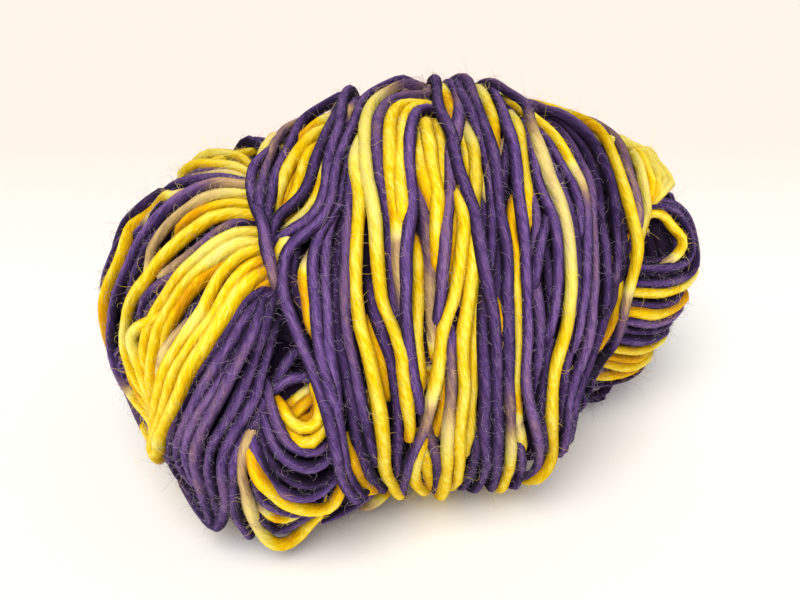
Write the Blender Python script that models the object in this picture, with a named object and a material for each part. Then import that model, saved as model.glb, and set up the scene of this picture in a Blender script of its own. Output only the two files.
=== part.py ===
"""A hank of thick single-ply wool, lying on its side. Metres, +Z up.

The yarn is one unbroken strand. Its lengthwise loops fold round at the ends of the hank, in a fat
lobe at -X and a smaller one at +X, each with an eye where the fold closes. Crosswise turns bind
the middle into a belly, wound a little slantwise. The hank is one solid of that wound form, with
its main twists raised at their real size. Its origin is the middle of its footprint.
"""

import math

import bmesh
import bpy
from mathutils import Vector

MM = 0.001

# The strand, and how close its turns lie
STRAND_THICKNESS = 3.8 * MM
TWIST_PITCH = 4.4 * MM
TWIST_HEIGHT = 1.3 * MM

# How far the middle of the footprint lies from the point that the forms are placed from
FOOTPRINT_MIDDLE = Vector((2.84, -5.0, 0.0)) * MM

# Each form is wound round its own axis. Lengths are in millimetres:
#   centre, axis        where the form's middle is, and the line its turns go round
#   end                 the way its sections' first half-width points
#   wide, high          half-widths of the widest section, along `end` and upwards
#   deep                half of the form's length along its axis
#   shoulder, crown     how square the profile's shoulders are, and how full its ends
#   eye, eye_wide,
#   eye_depth           where the fold closes on the end faces, how wide, and how deep
#   around              points round one turn
FORMS = {
    "belly": {
        "centre": (2.4, -5.0, 54.6), "axis": (0.94, -0.342, 0.0), "end": (0.342, 0.94, 0.0),
        "wide": 57.0, "high": 57.2, "deep": 53.2, "shoulder": 2.7, "crown": 2.0,
        "eye": (0.0, 0.0), "eye_wide": 10.0, "eye_depth": 0.0, "around": 42,
    },
    "fat_lobe": {
        "centre": (-42.0, -1.5, 48.6), "axis": (0.086, -1.0, -0.229), "end": (-1.0, 0.0, 0.0),
        "wide": 42.3, "high": 49.2, "deep": 51.3, "shoulder": 3.3, "crown": 1.8,
        "eye": (15.5, 26.0), "eye_wide": 10.0, "eye_depth": 17.0, "around": 34,
    },
    "small_lobe": {
        "centre": (56.9, 1.4, 48.0), "axis": (0.007, -1.0, -0.108), "end": (1.0, 0.0, 0.0),
        "wide": 33.6, "high": 42.5, "deep": 39.3, "shoulder": 2.8, "crown": 1.8,
        "eye": (4.0, 24.0), "eye_wide": 8.0, "eye_depth": 14.0, "around": 28,
    },
}

# Turns that stand proud of their neighbours. `run` is the share of the profile where the turn
# lies, from the pole at the axis's head, `slant` what it gains along its way, `from_deg` and
# `to_deg` its angles round the form (0 at `end`, 90 on top), and `lift` how far its middle line
# rises off the form half-way along, in millimetres. Both ends sink under the neighbouring turns.
PROUD_TURNS = (
    {"form": "belly", "run": 0.42, "slant": 0.16, "from_deg": 128, "to_deg": 214, "lift": 0.4},
    {"form": "belly", "run": 0.52, "slant": -0.03, "from_deg": 58, "to_deg": 108, "lift": 1.9},
    {"form": "fat_lobe", "run": 0.22, "slant": 0.04, "from_deg": -2, "to_deg": -78, "lift": 3.2},
    {"form": "fat_lobe", "run": 0.17, "slant": 0.03, "from_deg": -42, "to_deg": -112, "lift": 2.2},
    {"form": "fat_lobe", "run": 0.52, "slant": 0.05, "from_deg": 28, "to_deg": 82, "lift": 1.2},
    {"form": "small_lobe", "run": 0.43, "slant": 0.05, "from_deg": 26, "to_deg": 92, "lift": 2.4},
)
PROUD_STEP = 6.0 * MM
SUNK_END = 2.6

PROFILE_STEPS = 400
FLOOR_CUT = {"length": 0.30, "height": 0.06}

WOOL_PURPLE = (0.075, 0.045, 0.17, 1.0)


def clear_scene():
    for obj in list(bpy.data.objects):
        bpy.data.objects.remove(obj, do_unlink=True)


def wool_material():
    material = bpy.data.materials.new("wool")
    material.use_nodes = True
    shader = material.node_tree.nodes["Principled BSDF"]
    shader.inputs["Base Color"].default_value = WOOL_PURPLE
    shader.inputs["Roughness"].default_value = 0.92
    shader.inputs["Metallic"].default_value = 0.0
    shader.inputs["Sheen Weight"].default_value = 0.4
    return material


def frame_of(form):
    """The form's own axis, its sections' first direction, and their upward direction."""
    axis = Vector(form["axis"]).normalized()
    end = Vector(form["end"])
    end = (end - axis * end.dot(axis)).normalized()
    up = axis.cross(end)
    return axis, end, up if up.z > 0 else -up


def profile_of(form):
    """Points (run, level) along the profile: run is the length from the first pole, and level
    the section's size there, from 0 at a pole to 1 at the widest section."""
    mean_radius = (form["wide"] + form["high"]) / 2
    run = 0.0
    points = []
    last = None
    for step in range(PROFILE_STEPS + 1):
        turn = math.pi * step / PROFILE_STEPS
        along = math.copysign(abs(math.cos(turn)) ** (2 / form["shoulder"]), -math.cos(turn))
        level = abs(math.sin(turn)) ** (2 / form["crown"])
        here = Vector((along * form["deep"], level * mean_radius))
        if last is not None:
            run += (here - last).length
        last = here
        points.append((run, level))
    return points


def level_at(points, run):
    for (run_a, level_a), (run_b, level_b) in zip(points, points[1:]):
        if run <= run_b:
            share = (run - run_a) / max(run_b - run_a, 1e-9)
            return level_a + (level_b - level_a) * share
    return points[-1][1]


def surface_point(form, level, side, angle, height):
    """A point on the form. The turns close in on the eye, and the surface sinks there."""
    axis, end, up = frame_of(form)
    eye_end, eye_up = form["eye"]
    along_end = (1 - level) * eye_end + level * form["wide"] * math.cos(angle)
    along_up = (1 - level) * eye_up + level * form["high"] * math.sin(angle)
    reach = min(math.hypot(along_end / form["wide"], along_up / form["high"]), 1.0)
    along_axis = side * max(1 - reach ** form["crown"], 0.0) ** (1 / form["shoulder"])

    slope_end = along_end / form["wide"] ** 2 * max(reach, 1e-6) ** (form["crown"] - 2)
    slope_up = along_up / form["high"] ** 2 * max(reach, 1e-6) ** (form["crown"] - 2)
    slope_axis = abs(along_axis) ** (form["shoulder"] - 1) * side / form["deep"]
    slope_axis *= form["shoulder"] / form["crown"]
    outward = end * slope_end + up * slope_up + axis * slope_axis
    outward.normalize()

    from_eye = math.hypot(along_end - eye_end, along_up - eye_up)
    sunk = form["eye_depth"] * math.exp(-((from_eye / form["eye_wide"]) ** 2)) * abs(along_axis)
    point = end * along_end + up * along_up + axis * (along_axis * form["deep"])
    point += outward * height - axis * (sunk * side)
    return (Vector(form["centre"]) + point) * MM - FOOTPRINT_MIDDLE


def wound_form(name, form):
    """A ball whose rows become the form's turns, every second row a crest."""
    profile = profile_of(form)
    length = profile[-1][0]
    rows = 2 * round(length * MM / TWIST_PITCH)
    mesh = bpy.data.meshes.new(name)
    shape = bmesh.new()
    bmesh.ops.create_uvsphere(shape, u_segments=form["around"], v_segments=rows, radius=1.0)
    for point in shape.verts:
        row = round(math.acos(max(-1.0, min(1.0, point.co.z))) / math.pi * rows)
        angle = math.atan2(point.co.y, point.co.x)
        crest = TWIST_HEIGHT / MM / 2
        height = crest if row % 2 else -crest
        level = level_at(profile, length * row / rows)
        side = 1.0 if row * 2 < rows else -1.0
        point.co = surface_point(form, level, side, angle, height)
    bmesh.ops.recalc_face_normals(shape, faces=shape.faces)
    shape.to_mesh(mesh)
    shape.free()
    return bpy.data.objects.new(name, mesh)


def tube_solid(name, points):
    """A strand swept along the points, as a closed mesh."""
    curve = bpy.data.curves.new(name, "CURVE")
    curve.dimensions = "3D"
    curve.bevel_depth = STRAND_THICKNESS / 2
    curve.bevel_resolution = 1
    curve.use_fill_caps = True
    spline = curve.splines.new("POLY")
    spline.points.add(len(points) - 1)
    for knot, point in zip(spline.points, points):
        knot.co = (*point, 1.0)
    guide = bpy.data.objects.new(name, curve)
    bpy.context.scene.collection.objects.link(guide)
    graph = bpy.context.evaluated_depsgraph_get()
    mesh = bpy.data.meshes.new_from_object(guide.evaluated_get(graph))
    bpy.data.objects.remove(guide, do_unlink=True)
    shape = bmesh.new()
    shape.from_mesh(mesh)
    bmesh.ops.remove_doubles(shape, verts=shape.verts, dist=0.00001)
    bmesh.ops.recalc_face_normals(shape, faces=shape.faces)
    shape.to_mesh(mesh)
    shape.free()
    return bpy.data.objects.new(name, mesh)


def proud_turn(name, turn):
    """A turn that climbs out of the form, crosses its neighbours and dives back."""
    form = FORMS[turn["form"]]
    profile = profile_of(form)
    length = profile[-1][0]
    first = math.radians(turn["from_deg"])
    last = math.radians(turn["to_deg"])
    reach = abs(last - first) * max(form["wide"], form["high"]) * MM
    steps = max(6, round(reach / PROUD_STEP))
    points = []
    for step in range(steps + 1):
        share = step / steps
        run = turn["run"] + turn["slant"] * share
        rise = math.sin(math.pi * share) ** 0.5
        height = -SUNK_END + (SUNK_END + turn["lift"]) * rise
        side = 1.0 if run < 0.5 else -1.0
        level = level_at(profile, length * run)
        angle = first + (last - first) * share
        points.append(surface_point(form, level, side, angle, height))
    return tube_solid(name, points)


def floor_cutter():
    """A block below z = 0, which leaves the flat the hank rests on."""
    size = FLOOR_CUT
    mesh = bpy.data.meshes.new("floor_cut")
    shape = bmesh.new()
    bmesh.ops.create_cube(shape, size=1.0)
    bmesh.ops.scale(shape, vec=(size["length"], size["length"], size["height"]), verts=shape.verts)
    bmesh.ops.translate(shape, vec=(0.0, 0.0, -size["height"] / 2), verts=shape.verts)
    shape.to_mesh(mesh)
    shape.free()
    return bpy.data.objects.new("floor_cut", mesh)


def as_helper(obj, helpers):
    helpers.objects.link(obj)
    obj.hide_render = True
    obj.display_type = "WIRE"


def join(obj, other, operation):
    boolean = obj.modifiers.new(other.name, "BOOLEAN")
    boolean.operation = operation
    boolean.solver = "EXACT"
    boolean.object = other


def main():
    clear_scene()
    parts = bpy.data.collections.new("hank_of_yarn")
    helpers = bpy.data.collections.new("cutters")
    bpy.context.scene.collection.children.link(parts)
    bpy.context.scene.collection.children.link(helpers)

    hank = wound_form("yarn_hank", FORMS["belly"])
    parts.objects.link(hank)
    hank.data.materials.append(wool_material())
    for name in ("fat_lobe", "small_lobe"):
        lobe = wound_form(name, FORMS[name])
        as_helper(lobe, helpers)
        join(hank, lobe, "UNION")
    for number, turn in enumerate(PROUD_TURNS, 1):
        tube = proud_turn(f"proud_turn_{number}", turn)
        as_helper(tube, helpers)
        join(hank, tube, "UNION")
    cutter = floor_cutter()
    as_helper(cutter, helpers)
    join(hank, cutter, "DIFFERENCE")


main()
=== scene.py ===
# %% [markdown]
# # A hank of thick wool, strand by strand
#
# The real object is one long strand of soft, single-ply wool. It was wound into long loops, the
# loops were folded round at both ends, and the last of the strand was wrapped crosswise round the
# middle. The solid model has that wound form. This lesson lays the strand itself over the form,
# turn by turn, dyes it, and gives it the loose fibres that make wool look soft.

import math
from collections import namedtuple

import bmesh
import bpy
import numpy as np
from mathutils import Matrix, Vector, kdtree


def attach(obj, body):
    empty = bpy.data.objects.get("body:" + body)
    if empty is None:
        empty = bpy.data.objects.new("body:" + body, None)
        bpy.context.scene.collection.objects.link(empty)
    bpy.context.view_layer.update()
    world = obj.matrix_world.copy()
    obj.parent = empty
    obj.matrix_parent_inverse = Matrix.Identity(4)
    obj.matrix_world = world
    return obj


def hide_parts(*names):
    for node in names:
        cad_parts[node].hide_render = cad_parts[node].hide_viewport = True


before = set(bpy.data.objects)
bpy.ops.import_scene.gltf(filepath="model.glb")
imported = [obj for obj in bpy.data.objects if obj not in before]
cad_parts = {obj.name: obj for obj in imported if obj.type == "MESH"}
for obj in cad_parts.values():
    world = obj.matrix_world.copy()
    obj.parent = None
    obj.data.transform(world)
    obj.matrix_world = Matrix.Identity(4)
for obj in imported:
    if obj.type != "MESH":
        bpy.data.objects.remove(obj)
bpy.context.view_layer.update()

# %% [markdown]
# ## Sizes
#
# Bulky single-ply wool is 3.5 to 4 mm thick, and it swells and thins as it goes. The sizes could
# stand where they are used, but named once they can be changed for a thicker or a thinner wool.
# All lengths are worked out in millimetres, and turned into metres only where a mesh is made.

# %% Sizes of the strand and its winding
MM = 0.001
STRAND_RADIUS = 1.55
TURN_PITCH = 3.4  # from one turn of an even layer to the next
KNOT_STEP = 2.2  # from one place on a strand to the next
NEST_DEPTH = 2.1  # from the solid's surface down to the middle of the turns that show
UNDERLAY_DEPTH = 6.1  # down to the middle of the layer below those
CORE_DEPTH = 7.4  # down to the heart
LEVELS = {0: -3.0, 1: -1.8, 2: 0.0, 3: 0.6}  # how high a charted turn of each rise lies
rng = np.random.default_rng(8)
print("a strand is about", 2 * STRAND_RADIUS, "mm thick before it swells")

# %% [markdown]
# ## The viewpoint
#
# The photograph looks down at the hank at about 30 degrees, from 28 degrees round to the fat
# lobe's side. Turns could be laid by rule alone, but then none would lie where it really does. So
# the camera comes first, because the turns that show are read from the photograph: a place in the
# picture is a line of sight, and the turn lies where that line meets the wool.

# %% Put the camera where the photograph was taken
PHOTO_WIDTH, PHOTO_HEIGHT = 800, 600
PHOTO_FOCAL = 1038.0
PHOTO_CENTRE = np.array([410.0, 290.0])
VIEW_AROUND = math.radians(-28)
VIEW_ABOVE = math.radians(30)
VIEW_TARGET = np.array([-2.84, 5.0, 52.0])
VIEW_DISTANCE = 300.0
SENSOR_WIDTH = 36.0

to_camera = np.array([
    math.sin(VIEW_AROUND) * math.cos(VIEW_ABOVE),
    -math.cos(VIEW_AROUND) * math.cos(VIEW_ABOVE),
    math.sin(VIEW_ABOVE),
])
camera_right = np.array([math.cos(VIEW_AROUND), math.sin(VIEW_AROUND), 0.0])
camera_up = np.cross(to_camera, camera_right)
camera_place = VIEW_TARGET + VIEW_DISTANCE * to_camera

lens = bpy.data.cameras.new("photo_view")
lens.lens = PHOTO_FOCAL * SENSOR_WIDTH / PHOTO_WIDTH
lens.sensor_width = SENSOR_WIDTH
lens.shift_x = -(PHOTO_CENTRE[0] - PHOTO_WIDTH / 2) / PHOTO_WIDTH
lens.shift_y = (PHOTO_CENTRE[1] - PHOTO_HEIGHT / 2) / PHOTO_WIDTH
lens.clip_start = 0.01
camera = bpy.data.objects.new("photo_view", lens)
camera.location = Vector(camera_place) * MM
camera.rotation_euler = Vector(-to_camera).to_track_quat("-Z", "Y").to_euler()
bpy.context.scene.collection.objects.link(camera)
bpy.context.scene.camera = camera
print("camera at", [round(v, 3) for v in camera.location])


def sight_lines(places):
    """Directions from the camera through places in the photograph, in pixels right and down."""
    across, down = (np.asarray(places, float) - PHOTO_CENTRE).T / PHOTO_FOCAL
    lines = across[:, None] * camera_right - down[:, None] * camera_up - to_camera
    return lines / np.linalg.norm(lines, axis=1)[:, None]


# %% [markdown]
# ## The wound forms
#
# The belly and the two lobes are each a full, square-shouldered ball, wound round an axis of its
# own. The belly's axis runs along the hank, a little askew. The lobes' axes run across it, and
# their turns close in on an eye at each end, where the fold of the loops leaves a hollow. The
# forms could be read from the solid's mesh, but a formula also says which way is out, and where
# the next turn lies. A turn is a line of equal `run` on a form, and `angle` is how far round it a
# point is. `shoulder` and `crown` say how square the form is along its axis and round it.

# %% Describe the forms
FORMS = {
    "belly": {
        "centre": (-0.44, 0.0, 54.6), "axis": (0.94, -0.342, 0.0), "end": (0.342, 0.94, 0.0),
        "wide": 57.0, "high": 57.2, "deep": 53.2, "shoulder": 2.7, "crown": 2.0,
        "eye": (0.0, 0.0), "eye_wide": 10.0, "eye_depth": 0.0,
    },
    "fat_lobe": {
        "centre": (-44.84, 3.5, 48.6), "axis": (0.086, -1.0, -0.229), "end": (-1.0, 0.0, 0.0),
        "wide": 42.3, "high": 49.2, "deep": 51.3, "shoulder": 3.3, "crown": 1.8,
        "eye": (15.5, 26.0), "eye_wide": 10.0, "eye_depth": 17.0,
    },
    "small_lobe": {
        "centre": (54.06, 6.4, 48.0), "axis": (0.007, -1.0, -0.108), "end": (1.0, 0.0, 0.0),
        "wide": 33.6, "high": 42.5, "deep": 39.3, "shoulder": 2.8, "crown": 1.8,
        "eye": (4.0, 24.0), "eye_wide": 8.0, "eye_depth": 14.0,
    },
}
print("forms:", ", ".join(FORMS))

# %% Move about on a form
SECTION_READS = 1201
NUDGE = 0.4  # small steps along and round a form, to find which way is out
NUDGE_ROUND = 0.01


class WoundForm:
    """One of the forms, `inset` millimetres inside its outer surface."""

    def __init__(self, inset=0.0, **sizes):
        self.centre = np.array(sizes["centre"])
        axis = np.array(sizes["axis"])
        self.axis = axis / np.linalg.norm(axis)
        end = np.array(sizes["end"]) - self.axis * np.dot(sizes["end"], self.axis)
        self.end = end / np.linalg.norm(end)
        self.up = np.cross(self.axis, self.end)
        self.up *= math.copysign(1.0, self.up[2])
        self.rim = np.array([sizes["wide"] - inset, sizes["high"] - inset])
        self.deep = sizes["deep"] - inset
        self.shoulder, self.crown = sizes["shoulder"], sizes["crown"]
        self.eye = np.array(sizes["eye"])
        self.eye_wide, self.eye_depth = sizes["eye_wide"], sizes["eye_depth"]
        turn = np.linspace(0, math.pi, SECTION_READS)
        along = np.sign(np.cos(turn)) * np.abs(np.cos(turn)) ** (2 / self.shoulder) * self.deep
        level = np.abs(np.sin(turn)) ** (2 / self.crown) * self.rim.mean()
        steps = np.hypot(np.diff(along), np.diff(level))
        self.turn, self.run = turn, np.concatenate([[0], np.cumsum(steps)])
        self.length = self.run[-1]

    def half_depth(self, flat):
        """How far the surface is from the middle section, over places on that section."""
        reach = np.linalg.norm(flat / self.rim, axis=-1)
        depth = self.deep * np.maximum(1 - reach**self.crown, 0) ** (1 / self.shoulder)
        from_eye = np.linalg.norm(flat - self.eye, axis=-1) / self.eye_wide
        return depth - self.eye_depth * np.exp(-(from_eye**2)) * depth / self.deep

    def surface(self, run, angle):
        turn = np.interp(run, self.run, self.turn)
        level = (np.abs(np.sin(turn)) ** (2 / self.crown))[..., None]
        rim = np.stack([np.cos(angle), np.sin(angle)], -1) * self.rim
        flat = (1 - level) * self.eye + level * rim
        along = np.sign(np.cos(turn)) * self.half_depth(flat)
        place = flat[..., :1] * self.end + flat[..., 1:] * self.up + along[..., None] * self.axis
        return self.centre + place

    def outward(self, run, angle):
        """The surface's direction there, from two small steps along it."""
        run = np.clip(run, 1.0, self.length - 1.0)
        one = self.surface(run + NUDGE, angle) - self.surface(run - NUDGE, angle)
        other = (self.surface(run, angle + NUDGE_ROUND)
                 - self.surface(run, angle - NUDGE_ROUND))
        normal = np.cross(one, other)
        normal /= np.linalg.norm(normal, axis=-1)[..., None] + 1e-12
        away = ((self.surface(run, angle) - self.centre) * normal).sum(-1)
        return normal * np.where(away < 0, -1.0, 1.0)[..., None]

    def parts(self, places):
        offset = places - self.centre
        return np.stack([offset @ self.end, offset @ self.up], -1), offset @ self.axis

    def inside(self, places):
        flat, along = self.parts(places)
        within = np.linalg.norm(flat / self.rim, axis=-1) < 1
        return within & (np.abs(along) < self.half_depth(flat))

    def nearness(self, places):
        """Under 1 inside the form, and larger the farther a place is from it."""
        flat, along = self.parts(places)
        reach = np.linalg.norm(flat / self.rim, axis=-1)
        return np.abs(along / self.deep) ** self.shoulder + reach**self.crown

    def locate(self, places):
        """The run and angle of the nearest turn to each place."""
        flat, along = self.parts(places)
        middle, eye = flat - self.eye, self.eye / self.rim
        middle = middle / self.rim
        spread = 1 - (eye**2).sum()
        towards = middle @ eye
        level = (towards + np.sqrt(towards**2 + spread * (middle**2).sum(-1))) / spread
        level = np.clip(level, 0, 1)
        turn = np.arccos(np.sqrt(np.clip(1 - level**self.crown, 0, 1)))
        turn = np.where(along < 0, math.pi - turn, turn)
        rim = flat / self.rim - (1 - level[..., None]) * eye
        return np.interp(turn, self.turn, self.run), np.arctan2(rim[..., 1], rim[..., 0])


def forms_inset(inset):
    return {name: WoundForm(inset, **sizes) for name, sizes in FORMS.items()}


nests = forms_inset(NEST_DEPTH)
for name, nest in nests.items():
    print(f"{name}: room for {nest.length / TURN_PITCH:.0f} turns side by side")

# %% [markdown]
# ## From the photograph to the wool
#
# A line of sight is walked in small steps until it is inside a form, and the step is then halved
# until the place is exact. Where a line just misses the wool, as at a turn that stands proud of
# the outline, the place on the line nearest to the form is taken. Blender can cast rays against a
# mesh too, but a ray that misses has no nearest place, and the formulas answer for all lines at
# once. The turns behind the hank are found in the same way, by walking in towards the belly's
# axis.

# %% Find where a line of sight meets the wool
WALK_STEP = 0.75
WALK = np.arange(190.0, 420.0, WALK_STEP)
WALK_HALVINGS = 12


def meet(lines, forms):
    """How far along each sight line first enters one of the forms, or passes it closest."""
    places = camera_place + WALK[None, :, None] * lines[:, None]
    within = np.any([form.inside(places) for form in forms], axis=0)
    closest = WALK[np.min([form.nearness(places) for form in forms], axis=0).argmin(1)]
    far = WALK[within.argmax(1)]
    near = far - WALK_STEP
    for _ in range(WALK_HALVINGS):
        middle = (near + far) / 2
        places = camera_place + middle[:, None] * lines
        held = np.any([form.inside(places) for form in forms], axis=0)
        near, far = np.where(held, near, middle), np.where(held, middle, far)
    return np.where(within.any(1), far, closest)


print(len(WALK), "steps on each line of sight")

# %% Find the outermost wool from the belly's axis
REACH_STEP = 0.5
REACHES = np.arange(80.0, 8.0, -REACH_STEP)
REACH_HALVINGS = 8
NO_REACH = 20.0


def around_belly(places):
    """How far along the belly's axis each place is, and its angle round it."""
    belly = nests["belly"]
    flat, along = belly.parts(places)
    return along, np.arctan2(flat[..., 1], flat[..., 0])


def over_all(along, angle):
    """Places on the outermost wool, seen from the belly's axis, and the way out from there."""
    belly = nests["belly"]
    spokes = np.cos(angle)[:, None] * belly.end + np.sin(angle)[:, None] * belly.up
    hubs = belly.centre + along[:, None] * belly.axis
    places = hubs[:, None] + REACHES[None, :, None] * spokes[:, None]
    within = np.any([nest.inside(places) for nest in nests.values()], axis=0)
    outer = REACHES[within.argmax(1)] + REACH_STEP
    inner = outer - REACH_STEP
    for _ in range(REACH_HALVINGS):
        middle = (inner + outer) / 2
        place = hubs + middle[:, None] * spokes
        held = np.any([nest.inside(place) for nest in nests.values()], axis=0)
        inner, outer = np.where(held, middle, inner), np.where(held, outer, middle)
    found = within.any(1)
    spots = np.arange(len(along))
    if found.any():
        inner = np.interp(spots, spots[found], inner[found])
    else:
        inner = np.full(len(along), NO_REACH)
    return hubs + inner[:, None] * spokes, spokes


print(len(REACHES), "steps on each way in to the belly's axis")

# %% [markdown]
# ## Smooth lines
#
# A turn of wool has no corners. Its few known places are joined by a curve that passes through
# all of them, and the curve is then read at even steps. Blender's own splines could do that, but
# each strand has to be known before the next one is laid over it, long before it is a mesh.

# %% Curves through a few places
READS_PER_KNOT = 24


def even_curve(knots, step, scale=(1.0, 1.0)):
    """A smooth curve through the knots, read every `step`, with each column scaled to length."""
    knots = np.asarray(knots, float)
    scale = np.asarray(scale, float)
    gaps = np.linalg.norm(np.diff(knots * scale, axis=0), axis=1) ** 0.5 + 1e-6
    marks = np.concatenate([[0], np.cumsum(gaps)])
    padded = np.vstack([2 * knots[0] - knots[1], knots, 2 * knots[-1] - knots[-2]])
    pad_marks = np.concatenate([[marks[0] - gaps[0]], marks, [marks[-1] + gaps[-1]]])
    slopes = (padded[2:] - padded[:-2]) / (pad_marks[2:] - pad_marks[:-2])[:, None]
    fine = np.linspace(0, marks[-1], READS_PER_KNOT * len(knots))
    place = np.clip(np.searchsorted(marks, fine, "right") - 1, 0, len(gaps) - 1)
    share = ((fine - marks[place]) / gaps[place])[:, None]
    width = gaps[place][:, None]
    curve = ((2 * share**3 - 3 * share**2 + 1) * knots[place]
             + (share**3 - 2 * share**2 + share) * width * slopes[place]
             + (3 * share**2 - 2 * share**3) * knots[place + 1]
             + (share**3 - share**2) * width * slopes[place + 1])
    lengths = np.linalg.norm(np.diff(curve * scale, axis=0), axis=1)
    run = np.concatenate([[0], np.cumsum(lengths)])
    count = max(4, int(round(run[-1] / step)) + 1)
    even = np.linspace(0, run[-1], count)
    return np.stack([np.interp(even, run, column) for column in curve.T], 1), even


print("a corner becomes", len(even_curve([(0, 0), (9, 0), (9, 9)], 1.0)[1]), "even places")


# %% Unevenness and smoothing
def soft_noise(count, step, size, amount):
    """Smooth random values along a strand: bumps about `size` long and up to `amount` high."""
    knots = max(4, int(count * step / size) + 3)
    values = rng.normal(size=knots)
    spread = np.linspace(0, knots - 1.001, count)
    base = spread.astype(int)
    share = spread - base
    share = share * share * (3 - 2 * share)
    return amount * (values[base] * (1 - share) + values[base + 1] * share)


def eased(values, half):
    """Rows smoothed along a strand, over `half` steps to either side."""
    half = min(half, (len(values) - 1) // 2)
    if half < 1:
        return values
    window = np.hanning(2 * half + 3)[1:-1]
    window /= window.sum()
    head = 2 * values[:1] - values[half:0:-1]
    foot = 2 * values[-1:] - values[-2:-half - 2:-1]
    padded = np.concatenate([head, values, foot])
    return np.stack([np.convolve(column, window, "valid") for column in padded.T], 1)


def unit(vectors):
    return vectors / (np.linalg.norm(vectors, axis=1)[:, None] + 1e-12)


print("helpers:", ", ".join(helper.__name__ for helper in (soft_noise, eased, unit)))

# %% [markdown]
# ## The turns that show
#
# The turns could be scattered at random, but the hank is known by where its turns lie and where
# their colours change. So these tables are read from the photograph, one row for each turn that
# shows. `dye` spells the colours from the turn's start to its end: D deep purple, mostly purple
# wool in shade and so painted shade, P purple, V violet, M mauve, T tan, C cream, L lemon, on some
# turns a painted highlight on yellow, Y yellow, G gold, yellow wool in shade and so painted shade.
# `rise` is 0 for a turn deep between the others, 1 for one that they partly hide, 2 for one beside
# them and 3 for one that crosses over them. `route` holds places on it, in pixels right and down.
# The belly's turns come first: they bind the hank crosswise.

# %% Chart the belly's crosswise turns
Turn = namedtuple("Turn", "dye rise route")

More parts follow.
